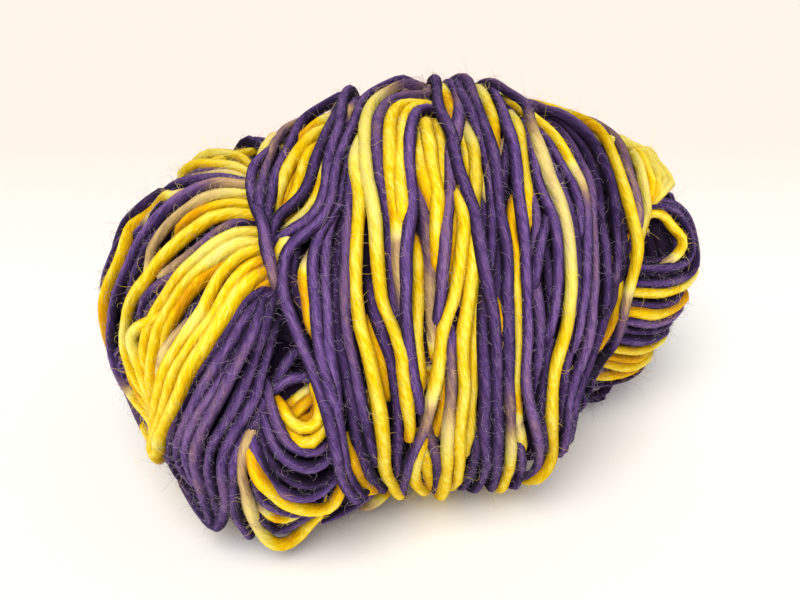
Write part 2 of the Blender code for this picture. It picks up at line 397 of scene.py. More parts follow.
BELLY_TURNS = (
    # turns that show only between the others, left to right
    Turn("CLCT", 1, ((275, 138), (267, 147), (262, 157), (260, 168), (259, 180))),
    Turn("T", 0, ((272, 163), (269, 176), (267, 190))),
    Turn("TGGG", 1, ((334, 115), (322, 121), (311, 129), (301, 139), (293, 149), (286, 160))),
    Turn("G", 0, ((296, 166), (290, 180), (286, 193), (283, 206))),
    Turn("GYG", 1, ((323, 134), (314, 145), (307, 157), (302, 169), (299, 181), (296, 192),
        (290, 202), (283, 211))),
    Turn("YYYY", 1, ((333, 123), (322, 130), (312, 138), (303, 147), (296, 156), (289, 166),
        (283, 177), (279, 189), (276, 202), (273, 214))),
    Turn("MTGYLL", 1, ((325, 150), (322, 165), (319, 180), (316, 192), (311, 203), (304, 212),
        (294, 221), (284, 228))),
    Turn("TYG", 1, ((292, 233), (284, 242), (279, 252), (275, 264))),
    Turn("DDDPP", 1, ((352, 140), (348, 160), (345, 180), (340, 197), (334, 212), (326, 228),
        (319, 243))),
    Turn("D", 0, ((297, 246), (294, 262), (293, 280), (298, 300), (305, 318))),
    Turn("TGGG", 1, ((307, 258), (303, 272), (303, 288), (306, 303), (309, 318), (313, 332))),
    Turn("G", 0, ((352, 462), (358, 474), (364, 486), (371, 497))),
    Turn("GT", 1, ((390, 494), (381, 502), (370, 507))),
    Turn("DTD", 0, ((357, 101), (350, 110), (346, 122), (343, 135))),
    Turn("G", 0, ((371, 322), (375, 342), (380, 362), (384, 380), (388, 398))),
    Turn("DPP", 1, ((369, 285), (373, 303), (378, 322), (384, 342), (390, 362), (394, 384),
        (397, 404), (398, 424), (397, 445), (397, 466), (400, 486))),
    Turn("D", 0, ((420, 178), (422, 200), (421, 222), (421, 245))),
    Turn("VVVMMTTTG", 1, ((416, 176), (420, 192), (423, 206), (426, 222), (428, 240), (430, 260),
        (431, 280), (431, 300), (432, 320), (434, 340), (436, 358))),
    Turn("YYG", 1, ((421, 122), (421, 143), (420, 157), (421, 170), (424, 182), (428, 194),
        (431, 206), (433, 218))),
    Turn("YYY", 1, ((437, 120), (440, 134), (442, 150), (442, 168), (441, 184), (441, 200))),
    Turn("LYY", 1, ((462, 118), (463, 132), (465, 148), (467, 163), (470, 178), (473, 192),
        (475, 205))),
    Turn("TYY", 1, ((466, 122), (470, 135), (474, 150), (475, 165), (476, 182), (476, 202))),
    Turn("TGG", 1, ((440, 88), (445, 97), (449, 107), (452, 119), (453, 131))),
    Turn("D", 0, ((480, 160), (482, 185), (486, 210), (488, 235))),
    Turn("GT", 0, ((481, 163), (484, 177), (487, 190), (489, 205))),
    Turn("GG", 1, ((457, 176), (456, 192), (455, 208), (453, 226), (451, 245), (449, 262),
        (447, 280))),
    Turn("GG", 0, ((445, 374), (444, 390), (442, 405), (439, 420), (436, 437))),
    Turn("MPP", 1, ((425, 424), (430, 437), (435, 450), (437, 463), (437, 477), (434, 489))),
    Turn("YG", 0, ((419, 436), (424, 450), (427, 465), (430, 478), (433, 489))),
    Turn("GYYY", 1, ((474, 244), (476, 268), (477, 298), (477, 320), (475, 342), (474, 362),
        (475, 382), (473, 402), (471, 420), (469, 438), (466, 456))),
    Turn("GYYYYYG", 1, ((412, 236), (415, 252), (416, 275), (417, 300), (417, 325), (418, 350),
        (419, 370), (420, 390))),
    Turn("CYG", 1, ((478, 88), (484, 97), (490, 109), (493, 120), (495, 131), (496, 143))),
    Turn("P", 1, ((510, 116), (510, 133), (508, 148), (505, 164), (502, 182), (500, 200))),
    Turn("T", 0, ((506, 138), (502, 149), (500, 159))),
    Turn("CYYYG", 1, ((510, 111), (516, 123), (520, 135), (523, 150), (525, 168), (526, 185),
        (527, 205), (528, 225))),
    Turn("GGGYYYYYGTYYG", 1, ((516, 197), (513, 211), (511, 226), (514, 243), (517, 258),
        (516, 280), (516, 300), (517, 320), (517, 340), (516, 360), (515, 380), (516, 400),
        (518, 418), (521, 434), (522, 448), (520, 460))),
    Turn("D", 0, ((494, 222), (497, 250), (499, 280), (500, 305), (501, 340), (502, 380),
        (501, 420), (499, 455))),
    Turn("GGT", 1, ((493, 299), (498, 310), (500, 322), (501, 340), (502, 357))),
    Turn("D", 0, ((529, 150), (531, 170), (533, 190), (532, 215), (532, 245), (534, 275))),
    Turn("VVPDD", 1, ((530, 188), (534, 205), (536, 225), (534, 250), (534, 275), (539, 300),
        (541, 320), (540, 340), (538, 360), (537, 380), (539, 400), (543, 420), (545, 440),
        (543, 458))),
    Turn("DPDD", 1, ((547, 245), (550, 270), (551, 295), (551, 320), (549, 342), (545, 362),
        (542, 382), (540, 402), (541, 425))),
    Turn("PPP", 1, ((549, 208), (546, 222), (542, 238), (539, 254), (537, 270), (535, 288))),
    Turn("P", 1, ((519, 440), (520, 452), (521, 465), (520, 478), (515, 490))),
    Turn("PP", 1, ((482, 420), (479, 436), (476, 450), (472, 463), (467, 476), (461, 487))),
    Turn("YG", 1, ((627, 262), (623, 275), (620, 288), (617, 300), (613, 314), (609, 328),
        (604, 340), (599, 350))),
    Turn("D", 1, ((615, 190), (620, 208), (622, 228), (622, 248), (619, 268), (614, 290))),
    # the left shoulder
    Turn("PPPPPVM", 2, ((270, 148), (262, 157), (255, 167), (252, 178), (252, 190), (255, 202),
        (259, 214), (263, 228), (266, 245), (270, 262), (274, 282))),
    Turn("TMMVPP", 2, ((306, 121), (294, 127), (284, 134), (276, 145), (271, 157), (267, 169),
        (264, 182), (262, 195), (261, 208), (263, 222))),
    Turn("PPPPP", 2, ((343, 102), (330, 108), (318, 114), (308, 122), (300, 131), (293, 142),
        (286, 155), (280, 168), (275, 182), (271, 198), (268, 214), (266, 230), (267, 248),
        (271, 266))),
    Turn("DDDD", 2, ((334, 119), (327, 132), (321, 146), (316, 159), (313, 171), (309, 183),
        (304, 193), (297, 201), (288, 209), (279, 217), (274, 229), (272, 243))),
    Turn("PPPPP", 2, ((350, 96), (344, 103), (341, 116), (338, 130), (334, 144), (330, 158),
        (328, 171), (327, 184), (324, 196), (320, 207), (312, 218), (301, 227), (288, 234),
        (277, 242))),
    Turn("PPPPPP", 2, ((340, 205), (333, 222), (328, 240), (325, 260), (325, 285), (326, 305),
        (327, 325), (328, 345), (331, 365), (334, 385), (336, 405), (338, 425), (341, 445),
        (345, 465), (352, 484), (362, 499))),
    Turn("PPPPP", 2, ((336, 208), (328, 222), (320, 236), (315, 250), (313, 266), (314, 285),
        (316, 303), (317, 322), (319, 342), (322, 360), (327, 378), (332, 396), (335, 415))),
    Turn("DDDPPPP", 1, ((350, 205), (342, 230), (337, 258), (335, 290), (334, 320), (337, 345),
        (342, 365), (346, 385), (350, 402), (353, 420), (357, 440), (363, 460), (372, 480),
        (384, 494))),
    Turn("DVVPD", 1, ((351, 168), (350, 190), (348, 210), (346, 232), (345, 256), (344, 280),
        (344, 305), (346, 330), (350, 352), (355, 376), (360, 400), (365, 424), (371, 448),
        (376, 466))),
    Turn("PPPPPPPPP", 2, ((409, 82), (402, 79), (392, 83), (381, 88), (371, 94), (363, 102),
        (358, 111), (354, 122), (349, 133), (344, 144), (340, 156), (337, 169), (335, 183),
        (333, 197), (328, 210), (319, 224), (306, 234), (295, 243), (287, 255), (284, 270),
        (283, 285), (285, 300), (290, 314), (297, 331), (304, 348), (312, 366), (319, 384),
        (325, 402), (331, 422), (335, 445), (340, 468), (347, 488), (357, 503))),
    # the middle
    Turn("MVVVPPPP", 2, ((425, 97), (410, 98), (396, 101), (386, 107), (380, 116), (377, 128),
        (377, 145), (378, 162), (379, 178), (383, 193), (386, 208), (390, 225), (391, 245),
        (393, 265), (394, 285), (395, 300), (398, 314))),
    Turn("MMV", 1, ((402, 103), (391, 112), (386, 124), (383, 138), (382, 152))),
    Turn("YYYYYYYGTTMD", 2, ((428, 103), (413, 104), (401, 107), (394, 114), (390, 126),
        (390, 145), (390, 165), (391, 182), (394, 200), (397, 220), (399, 240), (400, 262),
        (401, 285), (402, 310), (404, 332))),
    Turn("YYYYYYYG", 2, ((431, 104), (419, 105), (410, 110), (405, 120), (402, 140), (400, 160),
        (400, 180), (402, 200), (403, 218), (402, 234))),
    Turn("YYYYYYG", 2, ((426, 120), (427, 130), (429, 143), (431, 157), (433, 170), (436, 183),
        (437, 197), (436, 212), (435, 228), (435, 246), (436, 264))),
    Turn("PPPPPPPPPPD", 2, ((436, 108), (425, 107), (416, 113), (412, 124), (410, 140), (409, 160),
        (410, 180), (412, 198), (411, 215), (409, 232), (407, 255), (407, 280), (406, 305),
        (407, 325), (409, 345), (411, 362), (414, 380), (418, 395), (421, 412))),
    Turn("LLYYYYYYYYYYYY", 2, ((362, 136), (357, 150), (355, 165), (357, 180), (359, 195),
        (359, 212), (358, 235), (357, 260), (357, 285), (359, 305), (362, 328), (367, 348),
        (372, 370), (378, 400), (381, 420), (383, 445), (385, 465), (390, 480), (400, 492))),
    Turn("PPMPVVVVVP", 2, ((449, 84), (454, 91), (458, 102), (458, 118), (456, 133), (452, 147),
        (450, 160), (449, 175), (449, 190), (447, 210), (446, 230), (445, 250), (443, 270),
        (442, 288), (440, 303), (437, 320))),
    Turn("YYYYYYYYYY", 2, ((462, 194), (467, 211), (472, 230), (473, 248), (472, 268), (470, 290),
        (468, 310), (465, 330), (463, 350), (463, 372), (464, 390), (462, 408), (460, 425),
        (459, 445), (459, 463), (457, 480))),
    Turn("PMMTCLYYYYY", 2, ((452, 334), (451, 350), (451, 362), (452, 378), (452, 395), (450, 412),
        (448, 430), (447, 448), (447, 465), (445, 478), (440, 489))),
    Turn("GLYYY", 1, ((424, 438), (419, 450), (415, 462), (414, 474), (417, 484), (425, 491))),
    Turn("MVTCLLLLLLLLYYYYYYYYG", 2, ((421, 93), (412, 87), (400, 88), (389, 92), (379, 98),
        (371, 107), (367, 120), (365, 140), (365, 165), (367, 182), (371, 198), (374, 218),
        (376, 240), (378, 262), (380, 282), (382, 298), (386, 311), (392, 324), (398, 340),
        (402, 355), (403, 372), (406, 392), (409, 412), (411, 428), (410, 441))),
    Turn("YYYYYYYTMPPPPP", 2, ((458, 192), (462, 210), (464, 225), (463, 242), (461, 262),
        (458, 282), (454, 300), (449, 313), (445, 325), (442, 338), (441, 350), (440, 362),
        (438, 375), (435, 388), (432, 400), (429, 415), (425, 428), (419, 440), (413, 451),
        (408, 461), (405, 471), (403, 481), (401, 490))),
    Turn("PPPPPPDDPPPPPP", 2, ((457, 89), (462, 100), (468, 111), (474, 123), (479, 135),
        (483, 148), (487, 162), (489, 178), (491, 195), (492, 215), (492, 238), (491, 256),
        (488, 274), (485, 295), (483, 320), (483, 350), (484, 385), (484, 420), (485, 445),
        (485, 462), (481, 478), (474, 490))),
    Turn("VVVPPPPPPPPPPPMMCLYYY", 2, ((460, 84), (466, 82), (472, 94), (478, 108), (484, 124),
        (490, 141), (494, 157), (497, 175), (498, 195), (499, 212), (503, 230), (507, 250),
        (508, 270), (507, 290), (508, 310), (508, 335), (509, 360), (509, 385), (510, 402),
        (510, 425), (510, 448), (508, 468), (502, 488))),
    Turn("PPPPPPPPVVVVVV", 2, ((492, 87), (497, 98), (503, 112), (508, 128), (513, 147),
        (516, 168), (518, 190), (521, 212), (524, 235), (525, 260), (527, 290), (528, 318),
        (528, 340), (526, 362), (526, 382), (530, 403), (535, 422), (539, 442), (540, 458),
        (536, 470), (530, 476))),
    Turn("PPPPPPPPPPPPP", 3, ((436, 87), (437, 100), (440, 112), (444, 122), (449, 132),
        (452, 143), (455, 155), (459, 168), (463, 180), (467, 193), (472, 208), (475, 220),
        (478, 235), (481, 250), (485, 270), (489, 292), (493, 315), (495, 338), (496, 360),
        (496, 390), (497, 420), (497, 450), (495, 470), (491, 487))),
    # the right shoulder
    Turn("PPPPPPPP", 2, ((524, 118), (528, 135), (532, 152), (536, 172), (541, 190), (548, 206),
        (554, 221), (557, 238), (558, 256), (558, 275), (556, 295), (553, 315), (549, 335))),
    Turn("PPPPDDPPPPPPP", 1, ((531, 122), (538, 137), (545, 151), (551, 165), (558, 179),
        (564, 192), (569, 204), (573, 217), (576, 232), (578, 258), (578, 285), (578, 305),
        (576, 325), (573, 345), (569, 360), (566, 375), (564, 395), (563, 415), (563, 435),
        (559, 455))),
    Turn("PPPP", 2, ((536, 127), (547, 141), (553, 151), (559, 162), (565, 173), (571, 183),
        (575, 193), (578, 204), (580, 218), (581, 235))),
    Turn("YYYYYCTMVPPPPPPPP", 2, ((529, 116), (536, 121), (545, 128), (555, 138), (563, 150),
        (570, 163), (576, 174), (581, 184), (584, 195), (585, 210), (585, 230), (586, 260),
        (586, 280), (584, 297), (580, 315), (577, 335), (573, 352))),
    Turn("MVVVVVVVPPPP", 2, ((535, 114), (548, 117), (558, 125), (567, 138), (574, 150),
        (580, 161), (585, 172), (589, 184), (591, 198), (592, 217), (594, 240), (596, 262),
        (596, 282), (593, 302), (591, 322), (587, 341), (582, 357), (576, 373), (571, 388),
        (568, 405), (566, 425), (562, 447))),
    Turn("VVPPPPPPPPPP", 2, ((540, 112), (556, 117), (568, 127), (579, 140), (587, 154),
        (593, 168), (598, 184), (601, 205), (602, 225), (605, 250), (607, 275), (607, 300),
        (603, 322), (598, 342), (590, 361), (583, 377), (577, 391), (573, 405), (570, 420),
        (567, 438))),
    Turn("VVPPPPVVD", 2, ((545, 111), (560, 115), (574, 123), (587, 135), (597, 149), (603, 163),
        (608, 178), (612, 196), (615, 214), (616, 235), (617, 258), (614, 280), (609, 302),
        (603, 320))),
    Turn("VMMMMMV", 2, ((586, 121), (601, 127), (613, 138), (621, 150), (626, 163), (630, 177),
        (634, 190), (637, 205), (639, 221), (640, 240))),
    Turn("VVVMTCCCCCLLYYYYYYYYY", 3, ((494, 88), (505, 94), (517, 101), (525, 110), (529, 122),
        (533, 135), (538, 149), (543, 163), (549, 179), (556, 195), (562, 211), (567, 227),
        (570, 245), (571, 265), (571, 285), (569, 305), (567, 325), (562, 345), (556, 364),
        (552, 384), (551, 405), (552, 428), (552, 450), (548, 466), (540, 474))),
    Turn("YLYYYYYYYYYYYYTMVDDDD", 3, ((550, 111), (562, 115), (579, 120), (595, 128), (606, 140),
        (613, 155), (618, 171), (623, 187), (628, 205), (632, 222), (635, 240), (634, 260),
        (631, 278), (628, 295), (624, 312), (619, 330), (611, 346), (601, 360), (592, 371),
        (583, 383))),
)
print(len(BELLY_TURNS), "crosswise turns charted")

# %% [markdown]
# ## The fat lobe's loops
#
# Before the belly was wound, the loops were folded round here, so they fan out from under the
# belly and run over the end of the hank. They could follow one rule, like the rings of an onion,
# but the yellow ones lie over each other like a plait, and only a chart shows that.

# %% Chart the fat lobe's lengthwise loops
FAT_LOBE_TURNS = (
    # over the far shoulder
    Turn("DDD", 1, ((330, 112), (302, 113), (280, 119), (262, 127), (248, 137), (237, 148))),
    Turn("DPP", 1, ((310, 121), (288, 127), (268, 135), (252, 143), (240, 151))),
    Turn("YYLY", 1, ((284, 140), (268, 146), (253, 150), (240, 154))),
    Turn("YYLL", 3, ((260, 169), (251, 164), (241, 158), (228, 155), (214, 154), (204, 156))),
    Turn("YLYYL", 2, ((256, 177), (245, 171), (230, 166), (210, 165), (192, 168), (178, 175))),
    Turn("MMPM", 1, ((247, 178), (230, 172), (210, 171), (190, 174), (172, 181), (158, 189))),
    Turn("LCTMTT", 1, ((250, 179), (230, 174), (215, 174), (200, 176), (182, 179), (168, 185),
        (157, 191))),
    Turn("PPPPPPDDPPPDD", 2, ((248, 181), (230, 179), (210, 179), (190, 182), (172, 188),
        (157, 197), (143, 210), (131, 226), (120, 243), (112, 260), (106, 277), (104, 295),
        (104, 312))),
    Turn("PVVP", 3, ((162, 188), (150, 193), (142, 200), (137, 210), (129, 223))),
    Turn("TYYYYYYG", 3, ((186, 191), (172, 197), (158, 207), (144, 220), (129, 240), (121, 260),
        (112, 280), (108, 291), (106, 302), (106, 315))),
    # down the near side
    Turn("DDD", 1, ((160, 226), (150, 240), (143, 255), (137, 268), (132, 282), (126, 295))),
    Turn("TTMVVPPPPPPPPPPVMTYYL", 2, ((248, 184), (230, 184), (215, 184), (204, 187), (190, 193),
        (175, 203), (160, 217), (148, 231), (139, 245), (132, 260), (124, 278), (118, 292),
        (114, 306), (112, 320), (112, 338), (114, 355), (118, 369), (123, 379), (129, 389),
        (137, 400), (145, 411), (152, 425))),
    Turn("YLCCTTTTTY", 2, ((252, 193), (232, 193), (215, 195), (200, 201), (185, 211), (170, 223),
        (160, 235), (152, 249), (149, 264), (146, 280))),
    Turn("YYYGGG", 1, ((254, 203), (235, 203), (220, 205), (207, 209), (195, 214), (183, 220),
        (175, 227))),
    Turn("YYYYYYYYYYYYYLLYYYYY", 2, ((256, 214), (240, 213), (225, 215), (211, 219), (200, 227),
        (190, 234), (180, 242), (170, 251), (160, 261), (152, 273), (146, 283), (138, 292),
        (131, 303), (127, 317), (125, 332), (125, 347), (129, 360), (135, 373), (142, 387),
        (149, 402))),
    Turn("DPMVMTTC", 1, ((258, 220), (243, 221), (230, 225), (218, 231), (207, 239), (197, 248),
        (186, 257), (176, 265), (166, 271), (157, 277))),
    Turn("VVVPPP", 1, ((178, 271), (167, 278), (157, 285), (149, 293), (143, 303), (139, 314),
        (138, 323))),
    Turn("D", 0, ((161, 292), (153, 301), (147, 311), (143, 320))),
    Turn("YLLLYYYYYY", 2, ((258, 230), (240, 232), (225, 239), (211, 248), (200, 257), (189, 267),
        (179, 278), (171, 290), (163, 303), (156, 316), (150, 330), (147, 345), (146, 360),
        (148, 376))),
    Turn("YLLYYYYYYYY", 2, ((258, 241), (241, 244), (226, 252), (211, 262), (200, 270), (190, 279),
        (182, 289), (174, 302), (166, 316), (160, 330), (156, 345), (153, 362), (152, 380),
        (152, 398), (153, 414))),
    Turn("GGGGYY", 1, ((240, 253), (226, 260), (214, 269), (203, 278), (193, 288), (183, 300),
        (175, 313), (168, 326), (163, 340), (160, 354))),
    Turn("MTTCTYY", 1, ((188, 320), (180, 331), (173, 341), (166, 351), (162, 363), (160, 376),
        (158, 390))),
    Turn("DD", 0, ((206, 296), (198, 304), (191, 313), (184, 324), (178, 335))),
    Turn("YYLLYYY", 3, ((158, 316), (148, 322), (138, 329), (133, 337), (134, 347), (139, 359),
        (145, 372), (149, 388), (152, 403))),
    Turn("YYGGYL", 1, ((124, 356), (129, 369), (134, 381), (140, 392), (146, 404), (152, 416))),
    Turn("YYYYLYYYYYYYY", 2, ((262, 247), (245, 254), (234, 262), (225, 271), (218, 281),
        (212, 293), (205, 309), (198, 320), (189, 332), (177, 349), (166, 369), (161, 388),
        (157, 408), (155, 428), (157, 446))),
    Turn("GYYYYYYYYYYYYL", 2, ((263, 259), (250, 266), (240, 276), (231, 287), (224, 298),
        (217, 311), (209, 323), (201, 333), (189, 350), (176, 370), (169, 390), (163, 410),
        (158, 428), (156, 446), (159, 462), (167, 476), (178, 489))),
    Turn("GYYYYYYYYYLYYY", 2, ((266, 270), (254, 278), (244, 289), (235, 301), (227, 313),
        (216, 330), (204, 349), (191, 369), (182, 389), (173, 409), (166, 425), (161, 441),
        (162, 457), (168, 471), (179, 487))),
    Turn("GGGG", 1, ((268, 280), (256, 287), (244, 298), (234, 311), (225, 325))),
    # the purple loops beside the eye
    Turn("PPPPPPPVPPDDD", 1, ((264, 289), (250, 299), (239, 313), (229, 328), (218, 344),
        (206, 361), (196, 376), (188, 391), (180, 407), (174, 422), (170, 438), (170, 455),
        (175, 470), (184, 482), (195, 491), (207, 499))),
    Turn("PPPVPVVPPP", 2, ((268, 296), (255, 308), (244, 323), (234, 339), (223, 356), (212, 374),
        (203, 390), (194, 406), (186, 422), (180, 438), (178, 453), (182, 467), (191, 480),
        (202, 491))),
    Turn("PPPPVVPPPP", 2, ((266, 310), (255, 325), (244, 342), (233, 360), (222, 378), (212, 395),
        (202, 411), (193, 427), (188, 442), (187, 457), (192, 472), (199, 486), (207, 499))),
    Turn("G", 1, ((183, 465), (188, 472), (195, 479))),
    Turn("DPVVVVVVPPPVV", 3, ((264, 300), (258, 321), (249, 340), (241, 356), (231, 376),
        (220, 399), (208, 420), (200, 440), (197, 460), (201, 480), (208, 500), (215, 518),
        (214, 534))),
    Turn("DPPPPPPPDPP", 2, ((272, 300), (265, 320), (257, 345), (250, 367), (241, 390), (232, 410),
        (222, 428), (213, 444), (209, 461), (211, 480), (217, 500), (220, 517))),
    Turn("DPPPPVVPPVV", 3, ((274, 330), (267, 352), (261, 375), (256, 396), (245, 415), (235, 431),
        (228, 447), (224, 463), (224, 480), (226, 498), (223, 515), (214, 533))),
    Turn("DDPDDDPP", 2, ((264, 400), (257, 418), (247, 434), (239, 450), (235, 468), (234, 487),
        (235, 505), (241, 521), (251, 536))),
    Turn("C", 1, ((233, 502), (236, 509), (240, 516))),
)
print(len(FAT_LOBE_TURNS), "loops charted on the fat lobe")

# %% [markdown]
# ## The eye of the fat lobe
#
# Where the fold closes, the turns go round a small hollow. A hole cut into the form would show its
# empty inside. The form already sinks there, so the chart only adds the short bent turns that line
# it, and the lowest loops below them.

# %% Chart the eye of the fat lobe
FAT_EYE_TURNS = (
    Turn("PPD", 2, ((300, 350), (291, 358), (284, 368), (277, 380))),
    Turn("PPPP", 2, ((313, 381), (305, 378), (295, 378), (285, 382), (277, 389))),
    Turn("TG", 0, ((311, 387), (305, 393), (298, 401), (290, 409))),
    Turn("GG", 1, ((310, 400), (303, 407), (296, 414), (290, 420))),
    Turn("YGYYYYG", 3, ((314, 386), (318, 397), (321, 409), (319, 420), (311, 427), (302, 428),
        (293, 424), (287, 416), (283, 406))),
    Turn("YYYYG", 2, ((324, 422), (319, 433), (313, 440), (306, 443), (299, 441), (292, 434))),
    Turn("PVVVPPP", 2, ((268, 385), (268, 400), (273, 416), (281, 431), (291, 444), (304, 451),
        (317, 452), (328, 446))),
    Turn("DPPPPPP", 2, ((262, 410), (265, 426), (272, 442), (282, 455), (295, 464), (309, 467),
        (322, 464), (332, 456))),
    Turn("DDDDDD", 1, ((258, 425), (263, 446), (272, 463), (284, 476), (298, 484), (313, 485),
        (327, 480), (338, 470))),
    Turn("DPPVVPPD", 2, ((251, 428), (254, 447), (260, 464), (268, 479), (280, 490), (294, 496),
        (309, 496), (323, 490), (335, 481))),
    Turn("GGYYYYYG", 3, ((249, 448), (253, 463), (259, 476), (268, 488), (280, 498), (294, 505),
        (309, 509), (322, 509), (332, 505), (339, 496), (344, 487))),
    Turn("DPPP", 2, ((255, 484), (261, 497), (274, 507), (290, 512), (306, 513), (320, 512))),
    Turn("TGT", 1, ((258, 507), (268, 515), (279, 519), (291, 518), (304, 514))),
    Turn("DDPP", 2, ((260, 518), (272, 528), (286, 526), (300, 520), (315, 514))),
    Turn("PP", 1, ((268, 530), (279, 534), (290, 531), (300, 525))),
    Turn("TTTTCCCLYYYY", 3, ((253, 430), (245, 446), (243, 460), (243, 475), (246, 490),
        (250, 507), (256, 522), (265, 535), (277, 544), (290, 541), (301, 532), (311, 523),
        (321, 516))),
)
print(len(FAT_EYE_TURNS), "turns charted in the fat lobe's eye")

# %% [markdown]
# ## The small lobe
#
# The other fold is half hidden behind the belly. It could be a smaller copy of the first, but its
# top loops are gathered into a fan, the ones below lie side by side, and its eye is wide open, so
# it has a chart of its own.

# %% Chart the small lobe's loops and its eye
SMALL_LOBE_TURNS = (
    Turn("LLLLY", 2, ((624, 146), (632, 152), (638, 165), (642, 180), (645, 196), (646, 211),
        (643, 227), (639, 245))),
    Turn("LYYG", 2, ((628, 149), (636, 155), (643, 164), (648, 176), (650, 188), (648, 202))),
    Turn("LLLYG", 2, ((634, 151), (643, 155), (651, 162), (655, 174), (655, 187), (650, 201))),
    Turn("LLLLY", 2, ((642, 155), (652, 158), (659, 166), (662, 178), (659, 190), (652, 202))),
    Turn("LLLLLY", 3, ((648, 160), (657, 157), (665, 161), (669, 171), (668, 182), (661, 192),
        (653, 203))),
    Turn("DPPVVPPVPPP", 2, ((650, 205), (660, 201), (672, 205), (684, 213), (692, 225), (697, 240),
        (698, 254), (694, 267), (684, 276), (668, 282), (652, 284), (636, 284))),
    Turn("DPPPPPPPP", 2, ((650, 207), (661, 206), (671, 210), (680, 219), (687, 231), (690, 244),
        (689, 256), (681, 264), (667, 268), (652, 268), (638, 266))),
    Turn("DDDD", 0, ((664, 222), (671, 230), (676, 240), (675, 250), (668, 257), (656, 261),
        (642, 261))),
    Turn("YYYYYYYT", 3, ((644, 217), (650, 213), (658, 213), (665, 217), (669, 224), (675, 231),
        (681, 238), (682, 246), (678, 254), (671, 260))),
    Turn("D", 1, ((634, 272), (650, 274), (666, 274), (680, 271))),
    Turn("DD", 1, ((634, 287), (650, 288), (668, 286), (684, 280))),
    Turn("YYYYLL", 2, ((628, 294), (645, 294), (658, 293), (672, 291), (684, 285), (692, 277),
        (696, 268))),
    Turn("DDP", 1, ((630, 303), (646, 305), (660, 304), (673, 300), (684, 292))),
    Turn("GYYGG", 2, ((626, 313), (640, 314), (653, 314), (666, 312), (677, 306), (685, 297))),
    Turn("PVVVP", 2, ((620, 320), (636, 322), (652, 323), (665, 321), (674, 315), (681, 306))),
    Turn("PPPP", 1, ((616, 329), (634, 331), (650, 331), (663, 328), (674, 322))),
    Turn("DPDP", 2, ((610, 339), (626, 340), (642, 341), (654, 338), (666, 331))),
    Turn("YYYYL", 2, ((604, 349), (620, 350), (637, 350), (651, 346), (662, 338))),
    Turn("GGGY", 1, ((600, 356), (615, 358), (630, 359), (643, 356), (653, 349))),
    Turn("YYYYL", 2, ((594, 362), (608, 365), (624, 367), (638, 364), (649, 356))),
    Turn("MMM", 1, ((590, 368), (603, 370), (616, 371), (629, 371))),
    Turn("GYGG", 2, ((583, 377), (597, 376), (611, 374), (625, 371), (638, 366))),
    Turn("DPPP", 2, ((578, 383), (594, 384), (610, 382), (625, 378), (638, 370))),
    Turn("PDDP", 1, ((574, 390), (590, 391), (605, 389), (618, 384), (630, 377))),
    Turn("PPP", 2, ((568, 398), (583, 398), (597, 396), (607, 390))),
    Turn("PP", 2, ((564, 407), (579, 407), (593, 403), (604, 396))),
    Turn("PP", 1, ((560, 416), (573, 414), (585, 408))),
)
print(len(SMALL_LOBE_TURNS), "loops charted on the small lobe")

# %% [markdown]
# ## Dye
#
# The wool was dyed in long stretches, so the colour follows the strand and not the hank. A painted
# image would need a seam-free map of every strand. Instead each point of a strand gets one number,
# `dye`, and the wool's material turns that number into colour.
# Where a strand goes out of sight its colour holds for a while, and then changes as it likes.

# %% Give every strand its dye
# D and G stand mostly for purple and yellow wool in shade, so they are painted shade; L is lemon
# dye, and on some turns a painted highlight.
DYES = {"D": 0.0, "P": 0.1, "V": 0.2, "M": 0.32, "T": 0.46, "C": 0.58, "L": 0.7, "Y": 0.84,
        "G": 1.0}
HIDDEN_DYES = np.array([0.04, 0.1, 0.1, 0.12, 0.2, 0.32, 0.5, 0.72, 0.84, 0.84])
HOLDS_FOR = (15, 45)  # how far a colour holds on where a strand goes out of sight
FADES_OVER = (18, 40)  # how far it takes to change into the next
STAYS_FOR = (20, 90)  # how far that one lasts
BEYOND = 60


def dye_along(even, first, last, letters):
    """Dye values at the distances `even`: the letters lie between first and last."""
    letters = letters if len(letters) > 1 else 2 * letters
    marks = list(np.linspace(first, last, len(letters)))
    values = [DYES[letter] for letter in letters]
    place, value = marks[0] - rng.uniform(*HOLDS_FOR), values[0]
    while place > even[0] - BEYOND:
        marks.insert(0, place)
        values.insert(0, value)
        value = rng.choice(HIDDEN_DYES)
        place -= rng.uniform(*FADES_OVER)
        marks.insert(0, place)
        values.insert(0, value)
        place -= rng.uniform(*STAYS_FOR)
    place, value = marks[-1] + rng.uniform(*HOLDS_FOR), values[-1]
    while place < even[-1] + BEYOND:
        marks.append(place)
        values.append(value)
        value = rng.choice(HIDDEN_DYES)
        place += rng.uniform(*FADES_OVER)
        marks.append(place)
        values.append(value)
        place += rng.uniform(*STAYS_FOR)
    return np.interp(even, marks, values)


print(len(DYES), "dyes")

# %% [markdown]
# ## Laying a strand
#
# Wool is wound under a little tension. A new strand lies on the form, rises where it crosses a
# strand that is already there, and comes down again in a long easy line, because it is too stiff
# to drop into every gap. Soft strands sink into each other, so two may lie a little closer than
# their thickness. A simulation of so much wool would run for hours, so every strand is laid once,
# and lifted just enough to clear the strands below it.

# %% Say how strands rest on each other
Rest = namedtuple("Rest", "squash most_lift")
CROSSWISE = Rest(squash=0.68, most_lift=3.0)
LENGTHWISE = Rest(squash=0.56, most_lift=2.2)
OUT_OF_SIGHT = Rest(squash=0.45, most_lift=1.0)
LONG_SWELL, SHORT_SWELL = (22, 0.07), (7, 0.05)  # how long and how high the swellings are
YELLOW_SWELL, YELLOW_FROM = 0.10, 0.5  # yellow wool is a little fuller
THINNEST, THICKEST = 1.0, 2.3
THIN_WHERE_TUCKED = 0.45
FACING_FULLY = 0.35  # from here on a strand counts as turned to the camera
NEIGHBOURHOOD = 6
SIDES_ON_TOP, SIDES_BELOW = 10, 6
print("crosswise turns rise up to", CROSSWISE.most_lift, "mm over each other")


